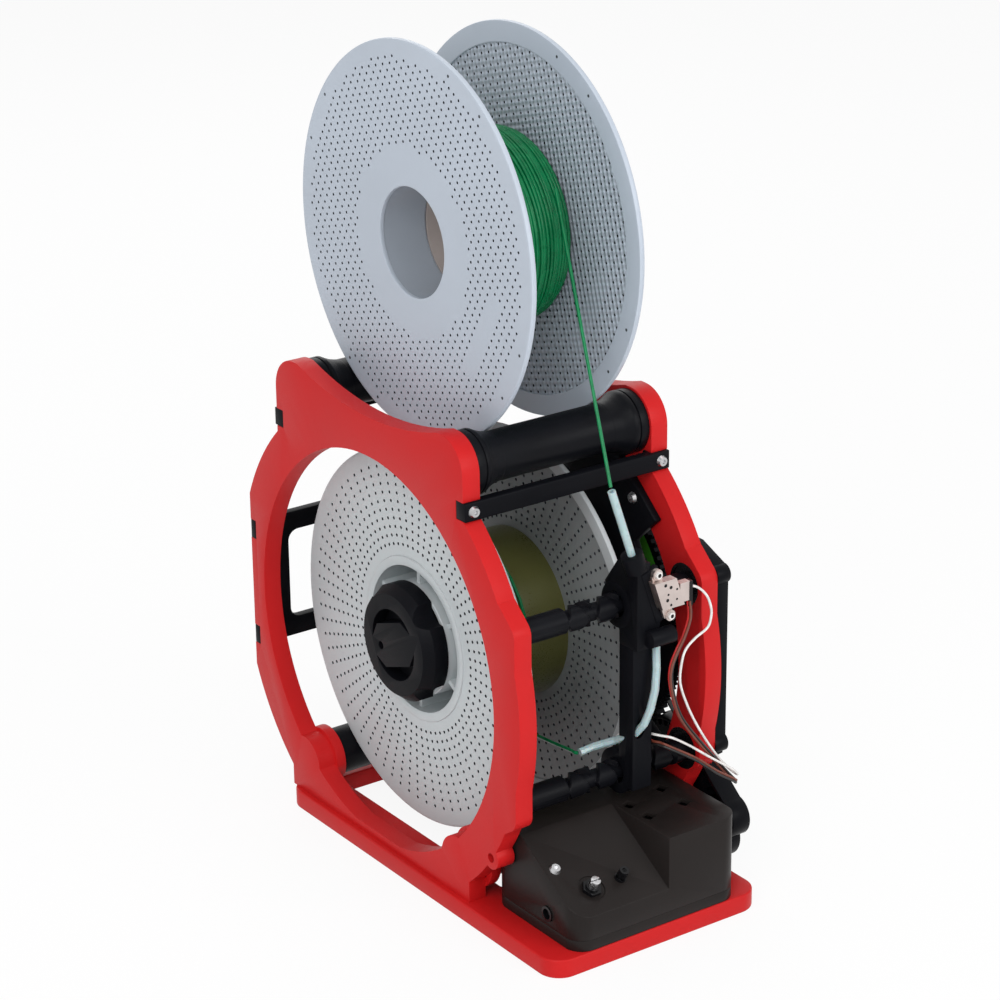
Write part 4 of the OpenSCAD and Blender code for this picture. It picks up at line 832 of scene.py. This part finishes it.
class RESPOOLER_OT_take_up_spool(PieceOperator, bpy.types.Operator):
    """Take-up spool: perforated flanges, olive drum and ribbed hub"""

    bl_idname = "respooler.take_up_spool"
    bl_label = "Take-up spool"

    def execute(self, context):
        recess_r, barrel_r, hub_r, step_r = 39 * MM, 45 * MM, 30.3 * MM, 93 * MM
        lip, deep, wall, soft, ribs = 1 * MM, 2 * MM, 1.2 * MM, 0.4 * MM, 6
        low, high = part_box("take_up_spool")
        left, right = low.x + lip, high.x - lip
        holes = row_holes(self.sizes)
        bm = bmesh.new()
        for x_out, side in ((left, 1), (right, -1)):
            flange_plate(bm, holes, self.sizes.row_hole_d / 2, TAKE_UP, recess_r + 0.2 * MM, x_out, side)
            flange_rim(bm, TAKE_UP, x_out, side, step_r)
            flange_lathe(bm, [
                (0, recess_r + 5 * MM), (-0.8 * MM, recess_r + 4.6 * MM), (-lip, recess_r + 3.8 * MM),
                (-lip, recess_r + 0.8 * MM), (-0.6 * MM, recess_r), (deep, recess_r),
                (deep, recess_r + 5 * MM),
            ], TAKE_UP, x_out, side)
        lathe(bm, [
            (left + soft, hub_r), (left, hub_r - soft), (left, BORE_R + soft), (left + soft, BORE_R),
            (right - soft, BORE_R), (right, BORE_R + soft), (right, hub_r - soft), (right - soft, hub_r),
        ], TAKE_UP)
        lathe(bm, [
            (left + deep, recess_r), (right - deep, recess_r),
            (right - deep, barrel_r - wall), (left + deep, barrel_r - wall),
        ], TAKE_UP)
        inner, outer, half = hub_r - 0.6 * MM, recess_r + 0.6 * MM, 1.25 * MM
        for i in range(ribs):
            rib = block(bm, (left + 3 * MM, inner, -half), (right - 3 * MM, outer, half))
            turn = Matrix.Rotation(FULL_TURN * (i + 0.5) / ribs, 4, "X")
            bmesh.ops.transform(bm, verts=rib, matrix=Matrix.Translation((0, TAKE_UP.y, TAKE_UP.z)) @ turn)
        web = (left + right) / 2
        lathe(bm, [(web - MM, inner), (web + MM, inner), (web + MM, outer), (web - MM, outer)], TAKE_UP)
        # The inner faces get a darker copy of the take-up grey as painted shade.
        finishes = ("take_grey", "hole_grey", "take_up_inner_shade")
        settle(bm, "take_up_spool_body", "take_up", finishes, ["take_up_spool"])
        bm = bmesh.new()
        lathe(bm, [
            (left + PLATE_T, barrel_r), (right - PLATE_T, barrel_r),
            (right - PLATE_T, barrel_r - wall), (left + PLATE_T, barrel_r - wall),
        ], TAKE_UP, FINE_ROUND)
        settle(bm, "take_up_drum", "take_up", "drum")
        return {"FINISHED"}


class RESPOOLER_OT_take_up_drive(PieceOperator, bpy.types.Operator):
    """Shaft, adapter, clamp knob and the gears behind the far panel"""

    bl_idname = "respooler.take_up_drive"
    bl_label = "Shaft, knob and gears"

    def execute(self, context):
        shared = {"radius": self.sizes.small_round, "least": 3 * MM}
        self.knob()
        dressed("take_up_adapter", material="black", slot="black_plastic", **shared)
        painted("take_up_shaft", material="shaft", slot="steel")
        painted("shaft_nut", material="black", slot="black_plastic")
        dressed("gear_carrier", material="disc", slot="green_plastic", **shared)
        painted(
            "ring_gear", "reduction_gear", "large_idler", "small_idler", "motor_pinion",
            material="black", slot="black_plastic",
        )
        painted("upper_pulley", "lower_pulley", material="bearing", slot="steel")
        painted("drive_belt", material="belt", slot="belt_rubber")
        return {"FINISHED"}

    @staticmethod
    def knob():
        """The clamp knob, its wing bar broadened to a hexagonal block."""
        bar_y, bar_z, wide, near = 16 * MM, 7 * MM, 11.5 * MM, 0.3 * MM
        turn = Matrix.Rotation(math.radians(-20), 3, "X")
        axis = Vector((0, TAKE_UP.y, TAKE_UP.z))
        bm = merged_copy("clamp_knob")
        for vert in bm.verts:
            spot = turn.inverted() @ (vert.co - axis)
            if abs(abs(spot.y) - bar_y) < near and abs(abs(spot.z) - bar_z) < near:
                moved = Vector((spot.x, math.copysign(wide, spot.y), math.copysign(wide, spot.z)))
                vert.co = turn @ moved + axis
        round_off(bm, 0.8 * MM, 3, 3 * MM)
        settle(bm, "clamp_knob_skin", body_of("clamp_knob"), "black", ["clamp_knob"])


def groove_depth_at(x, turn, sizes):
    """Depth of the two crossing grooves at a place on the screw, turn counted in whole turns."""
    bank, run_out = 0.5 * MM, 2.5 * MM
    depth = 0.0
    for way in (-1, 1):
        off = x / sizes.groove_lead - way * turn
        off = abs(off - round(off)) * sizes.groove_lead
        depth = max(depth, min(1.0, max(0.0, (sizes.groove_w / 2 - off) / bank)))
    fade = min(x + sizes.groove_from, sizes.groove_to - x) / run_out
    return sizes.groove_depth * depth * min(1.0, max(0.0, fade))


def grooved_screw(bm, node, sizes):
    """A screw with two crossing grooves between its plain ends, and its thinner journals."""
    low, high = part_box(node)
    centre = (low + high) / 2
    body_r, journal_r, shoulder = (high.z - low.z) / 2, 3.95 * MM, 51.55 * MM
    soft, row_step, around = 0.4 * MM, 0.4 * MM, 120
    start, end = -sizes.groove_from, sizes.groove_to
    count = int((end - start) / row_step)
    rows = [(low.x, journal_r - soft), (low.x + soft, journal_r), (-shoulder, journal_r),
            (-shoulder, body_r - soft), (-shoulder + soft, body_r)]
    rows += [(start + (end - start) * i / count, body_r) for i in range(count + 1)]
    rows += [(shoulder - soft, body_r), (shoulder, body_r - soft), (shoulder, journal_r),
             (high.x - soft, journal_r), (high.x, journal_r - soft)]
    rings = []
    for x, r in rows:
        ring = []
        for k in range(around):
            turn = k / around
            here = r - groove_depth_at(x, turn, sizes) if r == body_r else r
            y, z = here * math.cos(turn * FULL_TURN), here * math.sin(turn * FULL_TURN)
            ring.append(bm.verts.new((x, centre.y + y, centre.z + z)))
        rings.append(ring)
    for first, second in zip(rings, rings[1:]):
        for k in range(around):
            after = (k + 1) % around
            bm.faces.new((first[k], first[after], second[after], second[k]))
    bm.faces.new(rings[0])
    bm.faces.new(rings[-1])


class RESPOOLER_OT_lead_screws(PieceOperator, bpy.types.Operator):
    """Both lead screws with their crossing grooves"""

    bl_idname = "respooler.lead_screws"
    bl_label = "Lead screws"

    def execute(self, context):
        for node in ("upper_lead_screw", "lower_lead_screw"):
            bm = bmesh.new()
            grooved_screw(bm, node, self.sizes)
            settle(bm, node + "_skin", body_of(node), "black_across", [node], 40)
        return {"FINISHED"}


# Dark dots painted as the shade in the dimples of the switch's plate: shares of its width and height, and
# radius in millimetres
SWITCH_DIMPLE_SHADES = (
    (0.30, 0.72, 0.9), (0.45, 0.66, 0.9), (0.38, 0.54, 0.6), (0.36, 0.44, 0.9),
    (0.46, 0.34, 0.7), (0.62, 0.60, 0.6), (0.62, 0.42, 0.6),
)


class RESPOOLER_OT_carriage(PieceOperator, bpy.types.Operator):
    """Carriage column, head, filament tubes and the switch"""

    bl_idname = "respooler.carriage"
    bl_label = "Carriage"

    def execute(self, context):
        dressed(
            "carriage_column", "carriage_head",
            material="black", slot="black_plastic", radius=self.sizes.small_round, least=6 * MM,
        )
        painted("follower_pawls", "sensor_lever", material="steel", slot="steel")
        painted("sensor_switch", material="switch", slot="switch_metal")
        painted("sensor_screws", material="ear_white", slot="steel")
        painted("inlet_tube", "outlet_tube", material="tube", slot="tube")
        self.switch_marks()
        return {"FINISHED"}

    @staticmethod
    def switch_marks():
        """Dark dots painted as the shade in the holes of the switch's ears and in the dimples of its plate,
        and the plug of its wires.
        """
        low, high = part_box("sensor_switch")
        ears = [v.co for v in frame["nodes"]["sensor_screws"].data.vertices]
        ears_z = middle("sensor_screws").z
        bm = bmesh.new()

        def mark(x, y, z, radius, deep, proud):
            rod(bm, Vector((x, y + deep, z)), Vector((x, y - proud, z)), radius, MARK_SIDES)

        # Dark dots in the ears' holes: painted shade.
        for part in (-1, 1):
            near = [v for v in ears if (v.z - ears_z) * part > 0]
            spot = sum(near, Vector()) / len(near)
            mark(spot.x, min(v.y for v in near), spot.z, MM, 0.5 * MM, 0.06 * MM)
        # Dark dots in the plate's dimples: painted shade.
        for share_x, share_z, r in SWITCH_DIMPLE_SHADES:
            x, z = low.x + (high.x - low.x) * share_x, low.z + (high.z - low.z) * share_z
            mark(x, low.y, z, r * MM, 0.4 * MM, 0.05 * MM)
        plug_z, plug_h = TAKE_UP.z + 44.4 * MM, 13.2 * MM
        block(
            bm, (high.x - 0.3 * MM, low.y + 0.5 * MM, plug_z),
            (high.x + 1.8 * MM, low.y + 4 * MM, plug_z + plug_h),
        )
        settle(bm, "switch_marks", body_of("sensor_switch"), "gloss_black")


# Routes of the switch's wires and of the strand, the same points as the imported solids', in
# millimetres with heights above the take-up axis
WHITE_ROUTE = [
    (38, -130, 55.4), (44.2, -130, 52.1), (49.4, -130, 46.5), (52.1, -130, 39.5), (52, -130, 34),
    (49.7, -130, 29.3), (41.9, -130, 25.6), (35.9, -130, 20.5), (33.4, -130, 11.3), (33.6, -130, 2.5),
    (38.9, -130, -11.5), (47.1, -129.6, -26.6), (57.8, -129, -42.6), (65.5, -129.6, -52),
    (68.6, -131.3, -55.2), (68.2, -133.4, -54.6), (62.5, -134.5, -49.2), (50, -132.5, -39.9),
    (39, -130.5, -31.4), (30, -128.8, -25.4), (25.3, -125.5, -24), (22.9, -120, -24.3),
    (22.3, -113, -25.5), (20.6, -105, -28), (17.6, -98.8, -33), (16.3, -95.7, -42), (16, -95.7, -52),
    (16, -96, -60.6),
]
BUNDLE_ROUTE = [
    (38, -130.2, 47.2), (38.6, -130.2, 38), (35.4, -130.2, 29.2), (30.8, -130.2, 21.5), (27.8, -130.2, 15),
    (27, -130.2, 7.5), (29.3, -130.2, -3.8), (33.8, -130.2, -15.1), (42.8, -130.3, -27.9),
    (53.3, -130.4, -41.1), (62, -130.6, -52), (66.4, -131.6, -57.4), (66.8, -133.6, -58.2),
    (63, -134.8, -55.3), (53.1, -134.8, -48.5), (40.9, -133, -38.6), (27.4, -130.2, -29.8),
    (24.6, -126, -28.4), (23.5, -120.5, -28.8), (23.2, -113, -30), (22.6, -104, -31.6),
    (20.6, -96.9, -36.4), (19, -95.2, -44), (18.8, -95.4, -52), (18.8, -96, -60.4),
]
BUNDLE = ("red", "black", "brown")
BUNDLE_R = 0.75 * MM
BUNDLE_PHASE = 3.9
BUNDLE_TURNS = 0.35
STRAND_FOOT = (-3.6, -121.5, 113.4)
STRAND_TOP = (21.5, -44.1, 238.1)
OUTGOING = [
    (-7, -99.9, -34.1), (-7.9, -98.2, -34.3), (-7.2, -94, -34.8), (-6.4, -80, -37), (-4.2, -55, -40.8),
    (-1.5, -13, -46.3),
]


def beside(line, radius, phase, turns):
    """A line that runs round another one at a distance, as a wire does in a loose bundle."""
    moved = []
    for i, spot in enumerate(line):
        before, after = line[max(i - 1, 0)], line[min(i + 1, len(line) - 1)]
        run = (after - before).normalized()
        side = run.cross(Vector((0, 1, 0))).normalized()
        angle = phase + turns * FULL_TURN * i / len(line)
        moved.append(spot + radius * (math.cos(angle) * side + math.sin(angle) * run.cross(side)))
    return moved


def raised(points):
    """Points given in millimetres, their heights above the take-up axis, as places in the frame."""
    return [Vector((x * MM, y * MM, TAKE_UP.z + z * MM)) for x, y, z in points]


class RESPOOLER_OT_cords(PieceOperator, bpy.types.Operator):
    """Free filament strands and the switch's wires"""

    bl_idname = "respooler.cords"
    bl_label = "Strands and wires"

    def execute(self, context):
        strand_d, wire_d = self.sizes.filament_d, self.sizes.wire_d
        top, foot = raised([STRAND_TOP, STRAND_FOOT])
        straight = [top.lerp(foot, i / 24) for i in range(25)]
        for name, line, body, node in (
            ("incoming_strand", straight, "frame", "incoming_filament"),
            ("outgoing_strand", smooth_path(raised(OUTGOING)), "carriage", "outgoing_filament"),
        ):
            strand = cord_piece(name, line, strand_d, body, "filament", [node])
            run_length(line)
        wires = {"white": smooth_path(raised(WHITE_ROUTE))}
        bundle = smooth_path(raised(BUNDLE_ROUTE))
        for i, name in enumerate(BUNDLE):
            wires[name] = beside(bundle, BUNDLE_R, i * FULL_TURN / len(BUNDLE) + BUNDLE_PHASE, BUNDLE_TURNS)
        for name, line in wires.items():
            finish = "wire_" + name
            wire = cord_piece(finish, line, wire_d, "carriage", finish, ["sensor_cable"])
            run_length(line)
        return {"FINISHED"}


class RESPOOLER_OT_control_box(PieceOperator, bpy.types.Operator):
    """Control box, its controls and what it holds"""

    bl_idname = "respooler.control_box"
    bl_label = "Control box"

    def execute(self, context):
        dressed(
            "control_box_lid", "control_box_tray",
            material="box", slot="box_plastic", radius=self.sizes.small_round, least=9 * MM,
        )
        painted("motor", material="can", slot="motor_metal")
        painted("circuit_board", material="board", slot="board")
        painted(
            "speed_control", "direction_switch", "power_socket", material="gloss_black", slot="switch_black"
        )
        dressed("speed_knob", material="steel", slot="steel", radius=0.3 * MM)
        dressed("toggle_lever", material="gloss_black", slot="switch_black", radius=0.3 * MM)
        self.toggle_cap()
        return {"FINISHED"}

    @staticmethod
    def toggle_cap():
        """A round cap on the toggle's lever."""
        spots = [v.co for v in frame["nodes"]["toggle_lever"].data.vertices]
        centre = sum(spots, Vector()) / len(spots)
        run = max(spots, key=lambda v: (v - centre).length) - centre
        if run.z < 0:
            run = -run
        run.x = 0
        cap_l, cap_r, tip_r = 4.5 * MM, 2.6 * MM, 2.4 * MM
        tip = centre + run
        bm = bmesh.new()
        rod(bm, tip - run.normalized() * cap_l, tip, cap_r, 32, tip_r)
        settle(bm, "toggle_cap", body_of("toggle_lever"), "gloss_black")


# ---------------------------------------------------------------- stage

CAMERA_AT = (-0.8444, -1.2197, 0.7718)
CAMERA_AZIMUTH = math.radians(-35.2584)
CAMERA_ELEVATION = math.radians(21.568)
CAMERA_ROLL = math.radians(-0.6023)
CAMERA_LENS = 112.63
LIT_AT = Vector((0, 0, 0.2))
FLOOR_GLOW = 0.9
SKY_UNSEEN = 0.45
LIGHTS = (
    ("key", (-1.3, -1.1, 1.3), 1.2, 19),
    ("front", (0.5, -1.7, 0.9), 1.0, 12),
    ("top", (0.0, 0.1, 1.9), 1.4, 5),
    ("back", (0.6, 1.3, 1.1), 1.0, 5),
)


class RESPOOLER_OT_stage(PieceOperator, bpy.types.Operator):
    """Camera, pale floor and soft studio light"""

    bl_idname = "respooler.stage"
    bl_label = "Stage"

    def execute(self, context):
        scene = bpy.context.scene
        self.camera(scene)
        self.floor(scene)
        self.lights(scene)
        scene.view_settings.view_transform = "Standard"
        return {"FINISHED"}

    @staticmethod
    def camera(scene):
        data = bpy.data.cameras.new("camera")
        data.lens = CAMERA_LENS
        data.sensor_width = 36
        data.clip_start, data.clip_end = 0.05, 20
        camera = bpy.data.objects.new("camera", data)
        scene.collection.objects.link(camera)
        a, e = CAMERA_AZIMUTH, CAMERA_ELEVATION
        ahead = Vector((-math.sin(a) * math.cos(e), math.cos(a) * math.cos(e), -math.sin(e)))
        roll = Matrix.Rotation(CAMERA_ROLL, 3, "Z").to_quaternion()
        camera.rotation_mode = "QUATERNION"
        camera.rotation_quaternion = ahead.to_track_quat("-Z", "Y") @ roll
        camera.location = CAMERA_AT
        scene.camera = camera

    @staticmethod
    def floor(scene):
        finish = Finish("pale_floor", scene.respooler_colours.floor, 0.8)
        lit = Signal(finish, finish.shader.outputs[0])
        mixed = finish.node(
            "ShaderNodeMixShader", None,
            {0: finish.seen() * FLOOR_GLOW, 1: lit, 2: finish.node("ShaderNodeEmission")},
        )
        finish.feed(finish.tree.nodes["Material Output"].inputs["Surface"], mixed)
        bm = bmesh.new()
        bmesh.ops.create_grid(bm, x_segments=1, y_segments=1, size=6)
        mesh = bpy.data.meshes.new("floor")
        bm.to_mesh(mesh)
        bm.free()
        mesh.materials.append(finish.material)
        floor = bpy.data.objects.new("floor", mesh)
        scene.collection.objects.link(floor)

    @staticmethod
    def lights(scene):
        scene.world = bpy.data.worlds.new("studio")
        scene.world.use_nodes = True
        graph = Graph(scene.world.node_tree)
        sky = graph.tree.nodes["Background"].inputs
        sky["Color"].default_value = (1, 1, 1, 1)
        graph.feed(sky["Strength"], graph.spread(graph.seen(), 0.0, 1.0, SKY_UNSEEN, 1.0))
        for name, place, size, power in LIGHTS:
            data = bpy.data.lights.new(name, "AREA")
            data.shape = "SQUARE"
            data.size = size
            data.energy = power
            light = bpy.data.objects.new(name, data)
            scene.collection.objects.link(light)
            light.location = place
            light.rotation_mode = "QUATERNION"
            light.rotation_quaternion = (LIT_AT - Vector(place)).to_track_quat("-Z", "Y")


PIECE_OPERATORS = (
    RESPOOLER_OT_stage,
    RESPOOLER_OT_cords,
    RESPOOLER_OT_panels,
    RESPOOLER_OT_bars,
    RESPOOLER_OT_donor_spool,
    RESPOOLER_OT_windings,
    RESPOOLER_OT_take_up_spool,
    RESPOOLER_OT_take_up_drive,
    RESPOOLER_OT_lead_screws,
    RESPOOLER_OT_carriage,
    RESPOOLER_OT_control_box,
)


class RESPOOLER_PT_pieces(bpy.types.Panel):
    """Lists the re-spooler's sizes, colours and pieces in the sidebar"""

    bl_idname = "RESPOOLER_PT_pieces"
    bl_label = "Re-spooler"
    bl_space_type = "VIEW_3D"
    bl_region_type = "UI"
    bl_category = "Re-spooler"

    def draw(self, context):
        for group in (context.scene.respooler_sizes, context.scene.respooler_colours):
            box = self.layout.box()
            for name in group.bl_rna.properties.keys():
                if name not in ("rna_type", "name"):
                    box.prop(group, name)
        for operator in PIECE_OPERATORS:
            self.layout.operator(operator.bl_idname)


CLASSES = (RespoolerSizes, RespoolerColours, *PIECE_OPERATORS, RESPOOLER_PT_pieces)


def register():
    for cls in CLASSES:
        bpy.utils.register_class(cls)
    bpy.types.Scene.respooler_sizes = bpy.props.PointerProperty(type=RespoolerSizes)
    bpy.types.Scene.respooler_colours = bpy.props.PointerProperty(type=RespoolerColours)


def unregister():
    del bpy.types.Scene.respooler_colours
    del bpy.types.Scene.respooler_sizes
    for cls in reversed(CLASSES):
        bpy.utils.unregister_class(cls)


def main():
    """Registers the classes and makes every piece."""
    register()
    for operator in PIECE_OPERATORS:
        group, name = operator.bl_idname.split(".")
        getattr(getattr(bpy.ops, group), name)()


if __name__ == "__main__":
    main()
